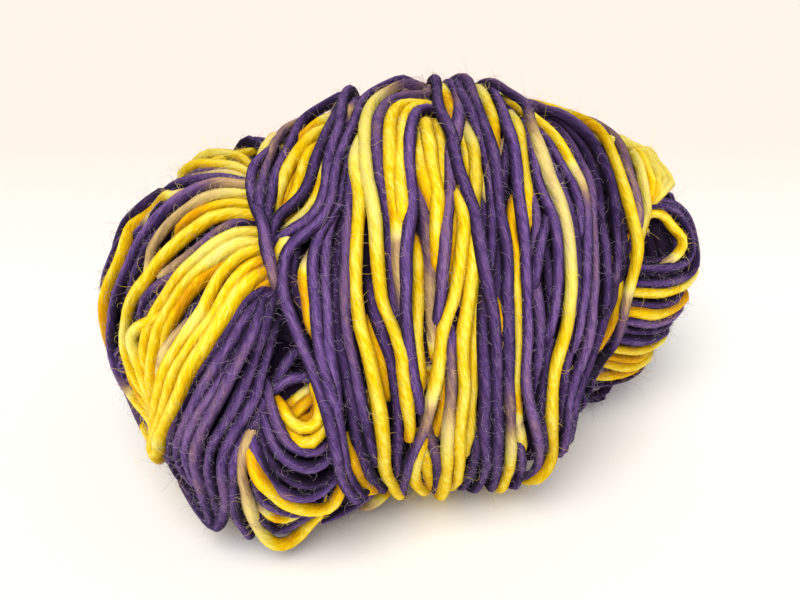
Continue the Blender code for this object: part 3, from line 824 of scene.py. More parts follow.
# %% Clear the strands below
def lift_over(places, outward, radii, pile, pile_radii, squash):
    """How far each place has to move outward to clear the strands in the pile."""
    offset = places[:, None] - pile[None]
    along = (offset * outward[:, None]).sum(-1)
    clear = (squash * (radii[:, None] + pile_radii[None])) ** 2
    room = along**2 - (offset**2).sum(-1) + clear
    lift = np.where(room > 0, -along + np.sqrt(np.maximum(room, 0)), 0.0)
    return np.maximum(lift.max(1), 0.0)


def drape(lift, step, reach=5.0):
    """The easy line of a taut strand over the bumps that it has to clear."""
    half = max(1, int(round(reach / step)))
    window = np.hanning(2 * half + 3)[1:-1]
    window /= window.sum()
    line = lift.copy()
    for _ in range(5):
        padded = np.pad(line, half, mode="edge")
        line = np.maximum(lift, np.convolve(padded, window, "valid"))
    padded = np.pad(line, half // 2 + 1, mode="edge")
    short = np.hanning(2 * (half // 2 + 1) + 3)[1:-1]
    return np.convolve(padded, short / short.sum(), "valid")


def way_and_share(outward):
    """Which way a strand is lifted, and how far that is along the line of sight."""
    share = np.clip(outward @ to_camera / FACING_FULLY, 0, 1)[:, None]
    return unit(outward * (1 - share) + to_camera * share), share


print("helpers:", ", ".join(helper.__name__ for helper in (lift_over, drape, way_and_share)))

# %% Lay strands one after another
laid_places = []
laid_radii = []
strands = []


def lay(group, places, outward, course, dye, rest, fullness=1.0, shade=0.0):
    """Adds a strand along the places, on top of what lies there, and remembers it.

    `course` has its level, how far it is sunk, and its tuck: where that is 1 the strand goes
    under its neighbours and isn't lifted. Where the photograph shows the strand it is lifted
    along the line of sight, so it keeps its place in the picture.
    """
    level, sunk, tuck = course.T
    tuck = np.clip(tuck, 0, 1)
    count = len(places)
    radii = STRAND_RADIUS * fullness * (1 + soft_noise(count, KNOT_STEP, *LONG_SWELL)
                                        + soft_noise(count, KNOT_STEP, *SHORT_SWELL)
                                        + YELLOW_SWELL * (dye > YELLOW_FROM))
    radii = np.clip(radii, THINNEST, THICKEST) * (1 - THIN_WHERE_TUCKED * tuck)
    outward = unit(eased(outward, 3))
    way, share = way_and_share(outward)
    sight = unit(places - camera_place)
    shift = eased(places, 3) - places
    places = places + shift * (1 - share) + (shift * sight).sum(1)[:, None] * sight * share
    places = places + way * level[:, None] + outward * sunk[:, None]
    if laid_places:
        pile = np.vstack(laid_places)
        pile_radii = np.concatenate(laid_radii)
        low, high = places.min(0) - NEIGHBOURHOOD, places.max(0) + NEIGHBOURHOOD
        near = np.all((pile > low) & (pile < high), axis=1)
        if near.any():
            lift = lift_over(places, way, radii, pile[near], pile_radii[near], rest.squash)
            most = rest.most_lift * np.interp(outward @ to_camera, (-0.1, 0.4), (0.35, 1.0))
            lift = np.minimum(lift, most) * (1 - tuck)
            places = places + way * (drape(lift, KNOT_STEP) * (1 - tuck))[:, None]
    places[:, 2] = np.maximum(places[:, 2], radii * 0.9)
    laid_places.append(places)
    laid_radii.append(radii)
    # tone: a random tone, lowered by `shade` as painted shade on turns that lie deeper
    strands.append({"group": group, "places": places, "outward": outward, "radii": radii,
                    "dye": dye, "tone": rng.uniform(-1, 1) - shade, "sides": SIDES_ON_TOP})


print("strands so far:", len(strands))

# %% [markdown]
# ## The layers that hardly show
#
# Between the turns on top one sees the turns below. A plain dark ball would fill the gaps from
# afar, but close up they would look empty, so every form first gets a full layer of evenly wound
# turns, a strand's depth down. They close on themselves and need fewer sides.

# %% Wind the layer below
UNDERLAY_STEP = 4.5
UNDERLAY_SEAM = math.radians(240)
UNDERLAY_WANDER = (30, 0.5)  # how long and how wide a turn's wanderings are
SMALLEST_TURN = 9
PURPLE_SHARE = 0.72
underlay = forms_inset(UNDERLAY_DEPTH)


def wind_underlay(name, group):
    """A full layer of even turns on one form."""
    form = underlay[name]
    count = int(form.length / TURN_PITCH)
    for number in range(1, count):
        run = form.length * number / count
        radius = np.linalg.norm(form.surface(np.array([run]), np.array([0.5]))[0] - form.centre)
        knots = max(12, int(2 * math.pi * radius / UNDERLAY_STEP))
        angle = np.linspace(-math.pi, math.pi, knots) + UNDERLAY_SEAM
        wander = soft_noise(knots, UNDERLAY_STEP, *UNDERLAY_WANDER)
        wander -= np.linspace(0, wander[-1] - wander[0], knots)
        runs = np.full(knots, run) + wander
        places = form.surface(runs, angle)
        places[:, 2] = np.maximum(places[:, 2], STRAND_RADIUS)
        if np.linalg.norm(np.ptp(places, axis=0)) < SMALLEST_TURN:
            continue
        even = np.arange(knots) * UNDERLAY_STEP
        letter = "P" if rng.random() < PURPLE_SHARE else "Y"
        dye = dye_along(even, even[-1] / 2, even[-1] / 2, letter)
        strands.append({"group": group, "places": places, "outward": form.outward(runs, angle),
                        "radii": np.full(knots, STRAND_RADIUS * 1.04), "dye": dye,
                        "tone": rng.uniform(-1, 1), "sides": SIDES_BELOW})
        laid_places.append(places)
        laid_radii.append(np.full(knots, STRAND_RADIUS))


for name in ("fat_lobe", "small_lobe", "belly"):
    wind_underlay(name, name + "_underlay")
print(len(strands), "turns in the layer below")

# %% [markdown]
# ## From a chart to a strand
#
# A charted turn is read at short even steps. At each step its line of sight gives one place in
# space, and a taut strand bridges a gap between two forms instead of dropping into it. Taking the
# nearest wool at each step would be simpler, but then a turn would jump from form to form. An end
# that stops in sight dives under its neighbours, little by little.

# %% Place the charted turns in space
SIGHT_STEP = 6.0  # pixels from one line of sight to the next
BESIDE = 10.0  # a line that misses the belly by less than this keeps to it
MISSES = 3.0
BRIDGE = 12.0  # how far a taut strand bridges
EASE_SHARE, EASE_REACH = 4, 9


def meet_outermost(lines):
    """Like `meet` for all forms, but what just misses the belly stays beside it, and bridged."""
    belly = nests["belly"]
    own, every = meet(lines, [belly]), meet(lines, list(nests.values()))
    places = camera_place + own[:, None] * lines
    miss = np.linalg.norm(places - belly.surface(*belly.locate(places)), axis=1)
    beyond = np.where(miss < BESIDE, np.minimum(own, every), every) - own
    beyond = -drape(-beyond, KNOT_STEP, BRIDGE)
    share = eased(np.clip(miss / MISSES, 0, 1)[:, None], EASE_SHARE)[:, 0]
    own = own * (1 - share) + eased(own[:, None], EASE_REACH)[:, 0] * share
    return own + eased(beyond[:, None], EASE_REACH)[:, 0]


def rows_of(places, level, sunk=0.0, tuck=0.0):
    """Places and their course side by side: x, y, z, level, sunk, tuck."""
    course = np.zeros((len(places), 3))
    course[:, 0], course[:, 1], course[:, 2] = level, sunk, tuck
    return np.hstack([places, course])


def charted_rows(turn, find):
    """The part of a turn that the photograph shows. `find` says where its sight lines end."""
    pixels, _ = even_curve(turn.route, SIGHT_STEP)
    lines = sight_lines(pixels)
    reach = eased(find(lines)[:, None], 1)
    return rows_of(camera_place + reach * lines, LEVELS[turn.rise])


first_turn = charted_rows(BELLY_TURNS[0], meet_outermost)
print("the first turn is read at", len(first_turn), "places")

# %% Join the parts of a strand
SINK = -5.0  # how deep a dive goes
DIVE_REACH, DIVE_SINK, DIVE_TUCK = (2.8, 6.0), np.array([0.5, 1.0]), np.array([0.8, 1.0])
LAST_PLACES, LAST_SINK, LAST_TUCK = 4, 0.9, 0.3
SIDEWAYS = (14, 0.18)  # how long and how wide a strand's waves are


def dive(rows):
    """Two more rows that carry on the way the strand was going, down under its neighbours."""
    way = rows[-1, :3] - rows[-2, :3]
    way /= np.linalg.norm(way) + 1e-9
    places = rows[-1, :3] + np.outer(DIVE_REACH, way)
    return rows_of(places, rows[-1, 3], rows[-1, 4] + DIVE_SINK * SINK, DIVE_TUCK)


def dive_in_sight(rows):
    """Lowers the last places of a strand before it dives, and gives the rows of the dive."""
    count = min(LAST_PLACES, len(rows) - 1)
    ease = np.linspace(0, 1, count + 1)[1:]
    rows[-count:, 4] -= LAST_SINK * ease
    rows[-count:, 5] += LAST_TUCK * ease
    return dive(rows)


def finish_strand(group, rows, head, foot, turn, outward_of, rest, fullness):
    """Joins the three parts of a strand, reads them at even steps and lays the strand."""
    knots = np.vstack([head[::-1], rows, foot])
    scale = (1.0, 1.0, 1.0, 0.0, 0.0, 0.0)
    curve, even = even_curve(knots, KNOT_STEP, scale)
    steps = np.linalg.norm(np.diff(knots[:, :3], axis=0), axis=1)
    marks = np.concatenate([[0], np.cumsum(steps)])
    dye = dye_along(even, marks[len(head)], marks[-1 - len(foot)], turn.dye)
    places = curve[:, :3]
    outward = outward_of(places)
    side = unit(np.cross(outward, np.gradient(places, axis=0)))
    places = places + side * soft_noise(len(even), KNOT_STEP, *SIDEWAYS)[:, None]
    # turns of rise 0 and 1 lie deeper, so their tone gets painted shade
    lay(group, places, outward, curve[:, 3:], dye, rest, fullness, float(turn.rise < 2))


print("a dive ends", -SINK, "mm down")

# %% [markdown]
# ## The loops of the lobes
#
# A loop goes all the way round its lobe. It could be charted in front and closed behind by one
# curve, but the back has to stay evenly covered. So a loop that runs off the edge of the picture
# goes on over its lobe, out of sight, for a few centimetres, and sinks to where the turns of the
# far side will lie over it.

# %% Carry a loop on over the edge
STRIDE, STRIDES = 4.0, 9
STEER = 0.25  # how strongly each stride turns away from the camera
SUNK = -4.5
SINKS_FACING, TUCKS_FACING = (-0.12, 0.12), (-0.1, 0.1)
OFF_AT_MOST, OFF_KEPT = 8.0, 0.6


def carry_on(form, rows):
    """Rows that go on over the edge, out of sight, and sink below the turns of the far side."""
    place = form.surface(*form.locate(rows[-1:, :3]))[0]
    before = form.surface(*form.locate(rows[-3:-2, :3]))[0]
    off = rows[-1, :3] - place
    off *= min(1.0, OFF_AT_MOST / (np.linalg.norm(off) + 1e-9))
    way = (place - before) / (np.linalg.norm(place - before) + 1e-9)
    more = []
    level, tuck = rows[-1, 3], 0.0
    for number in range(1, STRIDES + 1):
        way = way * (1 - STEER) - to_camera * STEER
        spot = form.locate((place + way / np.linalg.norm(way) * STRIDE)[None])
        next_place = form.surface(*spot)[0]
        way = (next_place - place) / (np.linalg.norm(next_place - place) + 1e-9)
        place = next_place
        facing = float(form.outward(*spot)[0] @ to_camera)
        level = min(level, np.interp(facing, SINKS_FACING, (SUNK, rows[-1, 3])))
        tuck = max(tuck, np.interp(facing, TUCKS_FACING, (1.0, 0.0)))
        more.append(np.array([*(place + off * OFF_KEPT**number), level, 0.0, tuck]))
        if level < SUNK + 0.1:
            break
    return np.array(more)


print("a loop goes on for up to", STRIDE * STRIDES, "mm")

# %% Lay the charted loops of a lobe
SILHOUETTE = 0.34  # a loop that ends where the lobe faces the camera less than this goes on
MOST_OFF = ((130, 180, 250, 400), (8.0, 5.0, 5.0, 9.0))  # pixels down, how far off its lobe
GRAZED_BELOW, GRAZED_OVER, EASE_GRAZED, EASE_DEPTH = 0.5, 0.3, 2, 8
FAT_LOBE_FULLNESS = ((180, 290), (0.84, 1.06))  # pixels down, and how thick a strand is there
EYE_FULLNESS, SMALL_LOBE_FULLNESS = 1.0, 0.92


def lay_loop(name, group, turn, fullness):
    """Lays a charted loop on a lobe, and smooths its depth where the lobe is seen edge-on."""
    form = nests[name]
    rows = charted_rows(turn, lambda lines: meet(lines, [form]))
    surface = form.surface(*form.locate(rows[:, :3]))
    off = rows[:, :3] - surface
    far_off = np.linalg.norm(off, axis=1)[:, None]
    most_off = np.interp(np.mean([place[1] for place in turn.route]), *MOST_OFF)
    rows[:, :3] = surface + off * np.minimum(1, most_off / (far_off + 1e-9))
    facing = form.outward(*form.locate(rows[:, :3])) @ to_camera
    lines = rows[:, :3] - camera_place
    reach = np.linalg.norm(lines, axis=1)[:, None]
    grazed = eased(np.clip((GRAZED_BELOW - facing) / GRAZED_OVER, 0, 1)[:, None], EASE_GRAZED)
    depth = reach * (1 - grazed) + eased(reach, EASE_DEPTH) * grazed
    rows[:, :3] = camera_place + lines / reach * depth
    backward = rows[::-1].copy()
    head = carry_on(form, backward) if facing[0] < SILHOUETTE else dive_in_sight(backward)
    rows = backward[::-1].copy()
    foot = carry_on(form, rows) if facing[-1] < SILHOUETTE else dive_in_sight(rows)
    finish_strand(group, rows, head, foot, turn,
                  lambda places: form.outward(*form.locate(places)), LENGTHWISE, fullness)


def in_order(turns):
    """What lies deeper is laid first."""
    return sorted(turns, key=lambda turn: turn.rise)


for turn in in_order(FAT_LOBE_TURNS):
    down = np.mean([place[1] for place in turn.route])
    lay_loop("fat_lobe", "fat_lobe_loops", turn, np.interp(down, *FAT_LOBE_FULLNESS))
for turn in in_order(FAT_EYE_TURNS):
    lay_loop("fat_lobe", "fat_lobe_eye", turn, EYE_FULLNESS)
for turn in in_order(SMALL_LOBE_TURNS):
    lay_loop("small_lobe", "small_lobe_loops", turn, SMALL_LOBE_FULLNESS)
print(len(strands), "strands after the lobes")

# %% [markdown]
# ## The sides that the photograph doesn't show
#
# The wool goes on over the back and underneath in the same way. The charted side could be
# mirrored, but a hank's two sides never match, so the back is wound by rule. A turn is walked
# round its form, and the stretches that the photograph can't see, because they face away or lie
# behind another form, are laid. At the edge they start below the charted loops, and farther back
# they lie above the ends of those, so that neither kind shows where it stops.

# %% Find what the photograph can't see
TURNED_AWAY = 0.12
AHEAD = np.arange(6.0, 120.0, 2.5)  # where something may lie in front of a place


def out_of_sight(form, places, outward):
    """Whether each place faces away from the photograph, or has wool in front of it."""
    towards = unit(camera_place - places)
    ahead = places[:, None] + towards[:, None] * AHEAD[None, :, None]
    covered = np.any([nest.inside(ahead).any(1) for nest in nests.values()], axis=0)
    buried = np.any([nest.inside(places) for nest in nests.values() if nest is not form], axis=0)
    facing = (outward * towards).sum(1)
    return ((facing < TURNED_AWAY) | covered) & ~buried


def stretches(kept):
    """First and last index of each unbroken stretch of True."""
    steps = np.diff(np.concatenate([[0], kept.astype(int), [0]]))
    return list(zip(np.flatnonzero(steps == 1), np.flatnonzero(steps == -1) - 1))


print("something may hide a place from up to", AHEAD[-1], "mm in front of it")

# %% Lay turns there
LEVEL_BEHIND, LEVEL_AT_EDGE, EDGE_FACING = -0.7, -3.0, (-0.05, 0.15)
IN_THE_SHADE, SHADE_FACING = 0.06, (-0.15, 0.1)  # a dark dye painted as shade on hidden stretches that face the camera
RUN_DOWN = np.array([-0.6, -1.6, -2.8, -4.0])
OVERLAP = len(RUN_DOWN)
FILL_WANDER = (25, 0.45)
RIM_READS, FEWEST_STEPS, SHORTEST_STRETCH = 24, 12, 8
FAR_SIDE_DYES = ["P", "P", "PP", "PVMTC", "Y", "YY", "TCLYY", "PPVM"]


def fill(name, group):
    """Lays the hidden stretches of a form's even turns."""
    form = nests[name]
    count = int(form.length / TURN_PITCH)
    for number in range(1, count):
        run = form.length * number / count
        rim = form.surface(np.full(RIM_READS, run), np.linspace(-math.pi, math.pi, RIM_READS))
        around = np.linalg.norm(np.diff(rim, axis=0), axis=1).sum()
        steps = int(around / KNOT_STEP)
        if steps < FEWEST_STEPS:
            continue
        start = rng.uniform(-math.pi, math.pi)
        angle = start + np.linspace(0, 2 * math.pi, steps)
        wander = soft_noise(steps, KNOT_STEP, *FILL_WANDER)
        runs = run + wander - np.linspace(0, wander[-1] - wander[0], steps)
        places, outward = form.surface(runs, angle), form.outward(runs, angle)
        kept = out_of_sight(form, places, outward)
        if kept.all():
            spans = [(0, steps + 3)]
        else:
            shown = int(np.flatnonzero(~kept)[0])
            spans = [(first + shown, last + shown)
                     for first, last in stretches(np.roll(kept, -shown))]
        for first, last in spans:
            if last - first < SHORTEST_STRETCH:
                continue
            picked = np.arange(first - OVERLAP, last + OVERLAP + 1) % (steps - 1)
            course = np.zeros((len(picked), 3))
            facing = outward[picked] @ to_camera
            course[:, 0] = np.interp(facing, EDGE_FACING, (LEVEL_BEHIND, LEVEL_AT_EDGE))
            course[:OVERLAP, 1], course[-OVERLAP:, 1] = RUN_DOWN[::-1], RUN_DOWN
            course[:OVERLAP, 2] = course[-OVERLAP:, 2] = 1.0
            even = np.arange(len(picked)) * KNOT_STEP
            letters = rng.choice(FAR_SIDE_DYES)
            dye = dye_along(even, even[-1] * 0.3, even[-1] * 0.7, letters)
            # stretches that face the camera lie in the gaps behind the other forms, and are
            # painted dark there as shade
            keeps_own_dye = np.interp(facing, SHADE_FACING, (1.0, 0.0))
            dye = IN_THE_SHADE + (dye - IN_THE_SHADE) * keeps_own_dye
            lay(group, places[picked], outward[picked], course, dye, OUT_OF_SIGHT)


for name in ("fat_lobe", "small_lobe", "belly"):
    fill(name, name + "_far_side")
    print(len(strands), "strands with the far side of", name)

# %% [markdown]
# ## The turns round the belly
#
# The crosswise turns are the last of the strand, so they lie over everything else. A charted turn
# of the belly lies on whatever is outermost there, the belly or the shoulder of a lobe. Its hidden
# part could be walked in space too, but the belly is round enough to go by places along its axis
# and angles round it. A turn that runs over the top goes on down the back, and one that reaches
# the foot goes on underneath.

# %% Walk round the belly
BELLY_REACH = 56.0  # from the belly's axis to its wool
LOWEST_ANGLE = -0.6  # angles below this count on from the foot instead
ROUND_STRIDE = math.radians(18)
MOST_LEAN, LEAN_KEPT, TO_THE_MIDDLE = 7, 0.55, 0.985
ROUND_WANDER, LEVEL_WANDER = (-0.9, 0.9), (-0.5, 0.2)
OFF_FADES = 14.0


def spokes_at(places):
    """The way out from the belly's axis at each place."""
    _, angle = around_belly(places)
    belly = nests["belly"]
    return np.cos(angle)[:, None] * belly.end + np.sin(angle)[:, None] * belly.up


def along_and_angle(rows):
    """Where rows lie along the belly's axis and round it, counted on from the back to the foot."""
    along, angle = around_belly(rows[:, :3])
    return along, np.where(angle < LOWEST_ANGLE, angle + 2 * math.pi, angle)


def go_round(rows, towards, stop, level):
    """Rows that go on round the belly, out of sight, until the angle `stop`."""
    along, angle = along_and_angle(rows[-4:])
    x, a = along[-1], angle[-1]
    lean = (along[-1] - along[0]) / max(abs(angle[-1] - angle[0]), 0.05) * ROUND_STRIDE
    lean = float(np.clip(lean, -MOST_LEAN, MOST_LEAN))
    knots = [(x, a, rows[-1, 3])]
    while (stop - a) * towards > 0:
        a += towards * ROUND_STRIDE
        lean *= LEAN_KEPT
        x = (x + lean) * TO_THE_MIDDLE + rng.uniform(*ROUND_WANDER)
        knots.append((x, a, level + rng.uniform(*LEVEL_WANDER)))
    curve, even = even_curve(knots, 2 * KNOT_STEP, (1.0, BELLY_REACH, 1.0))
    surface, _ = over_all(curve[:, 0], curve[:, 1])
    off = rows[-1, :3] - surface[0]
    fade = np.exp(-even / OFF_FADES)[:, None]
    return rows_of(surface + off * fade, curve[:, 2])[1:]


print("a hidden turn is walked in strides of", round(math.degrees(ROUND_STRIDE)), "degrees")

# %% Lay the charted turns of the belly
OVER_THE_TOP = math.radians(89)
UNDER_THE_FOOT = math.radians(216)
ROUND_THE_BACK = math.radians(-66)
ROUND_THE_FOOT = math.radians(288)
HIDDEN_LEVELS = {0: -2.2, 1: -2.2, 2: -0.3, 3: -0.3}
BELLY_FULLNESS = ((300, 400, 480, 560), (0.98, 1.04, 1.0, 0.9))  # pixels right, and how thick


def lay_belly_turn(turn):
    """Lays a charted turn and the part of it that is out of sight."""
    rows = charted_rows(turn, meet_outermost)
    angle = np.unwrap(along_and_angle(rows)[1])
    hidden = HIDDEN_LEVELS[turn.rise]
    backward = rows[::-1].copy()
    if angle[0] < OVER_THE_TOP:
        head = go_round(backward, -1, ROUND_THE_BACK, hidden)
    else:
        head = dive_in_sight(backward)
    rows = backward[::-1].copy()
    if angle[-1] > UNDER_THE_FOOT:
        foot = go_round(rows, 1, ROUND_THE_FOOT, hidden)
    else:
        foot = dive_in_sight(rows)
    fullness = np.interp(np.mean([place[0] for place in turn.route]), *BELLY_FULLNESS)
    finish_strand("belly_turns", rows, head, foot, turn, spokes_at, CROSSWISE, fullness)


for turn in in_order(BELLY_TURNS):
    lay_belly_turn(turn)
print(len(strands), "strands in all,", sum(len(s["places"]) for s in strands), "points")

# %% [markdown]
# ## No end in sight
#
# A hank has only two ends, and here both are wound in. The ends of the strands above are only
# where one strand goes below the others. Joining them all into one strand would be truer, but no
# one sees the joins, so an end that still lies high is bent down into the wool instead.

# %% Bend every open end down into the wool
TIP_DEPTH = -3.5
SHORTEST_BEND, BEND_PER_DEPTH = 9.0, 1.8


def depth_of(place):
    """How far a place is outside the form that it is deepest in, and the way out of that."""
    found = []
    for form in nests.values():
        spot = form.locate(place[None])
        outward = form.outward(*spot)[0]
        found.append((float((place - form.surface(*spot)[0]) @ outward), outward))
    return min(found, key=lambda pair: pair[0])


bent = 0
for strand in strands:
    if strand["group"].endswith("_underlay"):
        continue
    for places in (strand["places"], strand["places"][::-1]):
        height, outward = depth_of(places[0])
        if height > TIP_DEPTH:
            way = way_and_share(outward[None])[0][0]
            steps = np.linalg.norm(np.diff(places, axis=0), axis=1)
            far = np.concatenate([[0], np.cumsum(steps)])
            reach = max(SHORTEST_BEND, BEND_PER_DEPTH * (height - TIP_DEPTH))
            places += np.outer((TIP_DEPTH - height) * np.clip(1 - far / reach, 0, 1) ** 2, way)
            bent += 1
print(bent, "ends bent down")

# %% [markdown]
# ## The colour in the gaps
#
# A gap in yellow wool shows gold, yellow wool below in shade, and a gap in purple wool is almost
# black. That shade is painted: each point of the layer below takes gold where the wool over it is
# mostly yellow, and deep purple elsewhere. The layer below could keep dyes of its own, but specks
# of yellow would then shine through the purple.

# %% Dye the layer below with painted shade, after the wool over it
NEIGHBOURS, EASE_DYE, MOSTLY_YELLOW = 6, 3, 0.75
over = [strand for strand in strands if not strand["group"].endswith("_underlay")]
tree = kdtree.KDTree(sum(len(strand["places"]) for strand in over))
over_dye = np.concatenate([strand["dye"] for strand in over])
for number, place in enumerate(np.vstack([strand["places"] for strand in over])):
    tree.insert(place, number)
tree.balance()
for strand in strands:
    if strand["group"].endswith("_underlay"):
        nearest = [[index for _, index, _ in tree.find_n(place, NEIGHBOURS)]
                   for place in strand["places"]]
        yellow = (over_dye[np.array(nearest)] > YELLOW_FROM).mean(1, keepdims=True)
        gold_shade = eased(yellow, EASE_DYE)[:, 0] > MOSTLY_YELLOW
        strand["dye"] = np.where(gold_shade, DYES["G"], DYES["D"])
print("the layer below is dyed after", len(over), "strands")

# %% [markdown]
# ## From lines to strands
#
# A strand is a soft round tube. It could be a skinned chain of points, but a bevelled curve is the
# quickest way to a tube that follows a line and swells and thins as it goes. Each group of turns
# is one curve with many splines. It is made a mesh at once, so that every ring of points can carry
# its dye, its tone with painted shade for deeper turns, how far out it lies on its strand, which
# the finish turns into painted highlight and shade, and its length along the strand.

# %% Turn curves into meshes, and meshes into pieces
def made_mesh(name, curve):
    """The mesh of a bevelled curve, which is then no longer needed."""
    guide = bpy.data.objects.new(name + "_guide", curve)
    bpy.context.scene.collection.objects.link(guide)
    graph = bpy.context.evaluated_depsgraph_get()
    mesh = bpy.data.meshes.new_from_object(guide.evaluated_get(graph))
    bpy.data.objects.remove(guide, do_unlink=True)
    bpy.data.curves.remove(curve)
    mesh.name = name
    return mesh


def add_spline(curve, line, radii):
    """Adds a line of places, in millimetres, to a curve."""
    spline = curve.splines.new("POLY")
    spline.points.add(len(line) - 1)
    spline.points.foreach_set("co", np.column_stack([line * MM, np.ones(len(line))]).ravel())
    spline.points.foreach_set("radius", radii)


def mark(mesh, **marks):
    """Gives each point of a mesh its marks, such as its dye."""
    for name, values in marks.items():
        mesh.attributes.new(name, "FLOAT", "POINT").data.foreach_set("value", values)


def add_piece(name, mesh):
    """Puts a finished mesh into the scene, on the part's only body."""
    piece = bpy.data.objects.new(name, mesh)
    bpy.context.scene.collection.objects.link(piece)
    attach(piece, "root")
    return piece


groups = {}
for strand in strands:
    groups.setdefault(strand["group"], []).append(strand)
print("groups:", ", ".join(groups))

# %% Make a group of strands one mesh
UNDERLAY_PAINTED_SHADE = 0.3  # the layer below gets painted shade: its crest is lowered, so the finish darkens it
BETWEEN_STRANDS = 37.0  # so that no two strands have the same fibres


def close_ends(mesh):
    """Fills the open end of each strand."""
    shape = bmesh.new()
    shape.from_mesh(mesh)
    rims = [edge for edge in shape.edges if edge.is_boundary]
    bmesh.ops.holes_fill(shape, edges=rims, sides=0)
    shape.to_mesh(mesh)
    shape.free()


def strand_mesh(name, members):
    """The strands of one group, with the marks that their finish reads."""
    sides = members[0]["sides"]
    curve = bpy.data.curves.new(name, "CURVE")
    curve.dimensions = "3D"
    curve.bevel_depth = MM
    curve.bevel_resolution = (sides - 4) // 2
    curve.use_fill_caps = False
    for strand in members:
        add_spline(curve, strand["places"], strand["radii"])
    mesh = made_mesh(name, curve)

    dye = np.concatenate([np.repeat(strand["dye"], sides) for strand in members])
    tone = np.concatenate([np.full(len(strand["places"]) * sides, strand["tone"])
                           for strand in members])
    middles = np.repeat(np.vstack([strand["places"] for strand in members]), sides, axis=0)
    outward = np.repeat(np.vstack([strand["outward"] for strand in members]), sides, axis=0)
    radii = np.repeat(np.concatenate([strand["radii"] for strand in members]), sides)
    skin = np.empty(3 * len(mesh.vertices))
    mesh.vertices.foreach_get("co", skin)
    # crest: how far out a point lies on its strand; the finish paints a highlight on it and shade
    # below it
    crest = ((skin.reshape(-1, 3) / MM - middles) * outward).sum(1) / radii
    crest = np.clip(crest, 0, 1) * (UNDERLAY_PAINTED_SHADE if name.endswith("_underlay") else 1.0)
    lengths = []
    start = 0.0
    for strand in members:
        steps = np.linalg.norm(np.diff(strand["places"], axis=0), axis=1)
        lengths.append(np.repeat(start + np.concatenate([[0], np.cumsum(steps)]), sides))
        start += steps.sum() + BETWEEN_STRANDS
    lengths = np.concatenate(lengths)
    mark(mesh, dye=dye, tone=tone, crest=crest)

    corners = np.empty(len(mesh.loops), np.int32)
    mesh.loops.foreach_get("vertex_index", corners)
    side = corners % sides
    wraps = side.reshape(-1, 4).max(1) - side.reshape(-1, 4).min(1) == sides - 1
    turned = np.where(np.repeat(wraps, 4) & (side == 0), sides, side)
    along = np.column_stack([lengths[corners] * MM, turned / sides])
    mesh.uv_layers[0].name = "along_strand"
    mesh.uv_layers[0].data.foreach_set("uv", along.astype(np.float32).ravel())
    close_ends(mesh)
    mesh.shade_smooth()
    return mesh


pieces = {}
for group, members in groups.items():
    mesh = strand_mesh(group, members)
    pieces[group] = add_piece(group, mesh)
    triangles = sum(len(face.vertices) - 2 for face in mesh.polygons)
    print(f"{group}: {len(members)} strands, {triangles} triangles")

# %% [markdown]
# ## The heart of the hank
#
# Under the two layers the real hank is more wool. More layers of strands would cost many triangles
# and hardly show. Three closed balls, a little smaller than the forms, fill it instead, so that no
# light comes through the gaps. Together they stand in for the hank's solid, which is hidden.

# %% Fill the forms
HEART_FLOOR = 1.0


def heart_mesh(name, form, rings=40, around=56):
    """A ball whose points are moved onto the form."""
    shape = bmesh.new()
    bmesh.ops.create_uvsphere(shape, u_segments=around, v_segments=rings, radius=1.0)
    ball = np.array([point.co for point in shape.verts])
    share = np.arccos(np.clip(ball[:, 2], -1, 1)) / math.pi
    angle = np.arctan2(ball[:, 1], ball[:, 0])
    places = form.surface(share * form.length, angle)
    places[:, 2] = np.maximum(places[:, 2], HEART_FLOOR)
    for point, place in zip(shape.verts, places):
        point.co = Vector(place) * MM
    bmesh.ops.recalc_face_normals(shape, faces=shape.faces)
    mesh = bpy.data.meshes.new(name)
    shape.to_mesh(mesh)
    shape.free()
    # The heart takes the darkest dye, D, and has no crest mark, so the finish darkens it fully:
    # painted shade in the deepest gaps.
    mark(mesh, dye=np.zeros(len(ball)))
    mesh.shade_smooth()
    return mesh


hearts = []
for name, form in forms_inset(CORE_DEPTH).items():
    hearts.append(add_piece("heart_of_" + name, heart_mesh("heart_of_" + name, form)))
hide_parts("yarn_hank")
print("hearts:", [heart.name for heart in hearts])

# %% [markdown]
# ## Loose fibres
#
# Single-ply wool is hardly twisted, so fibres stand off it everywhere: most lie close along the
# strand, and some curl away by several millimetres. Blender's hair would draw them with less work,
# but it isn't part of a mesh, so an exported hank would lose it. Each fibre is a thin bent tube
# that starts inside a strand that shows and takes a paler tint of its dye.

# %% Bend a loose fibre
ROOT_DEPTH = 0.85  # as a share of the strand's radius
LEAN, SPREAD = 0.7, 0.45
LENGTHS = (0.5, 1.6)
BEND, BEND_CHANGE, CURL = 0.65, 0.25, 0.55
LIFT_CHANGE = (0.02, 0.12)
FIBRE_FLOOR = 0.2
NEAR_THE_TIP = 3


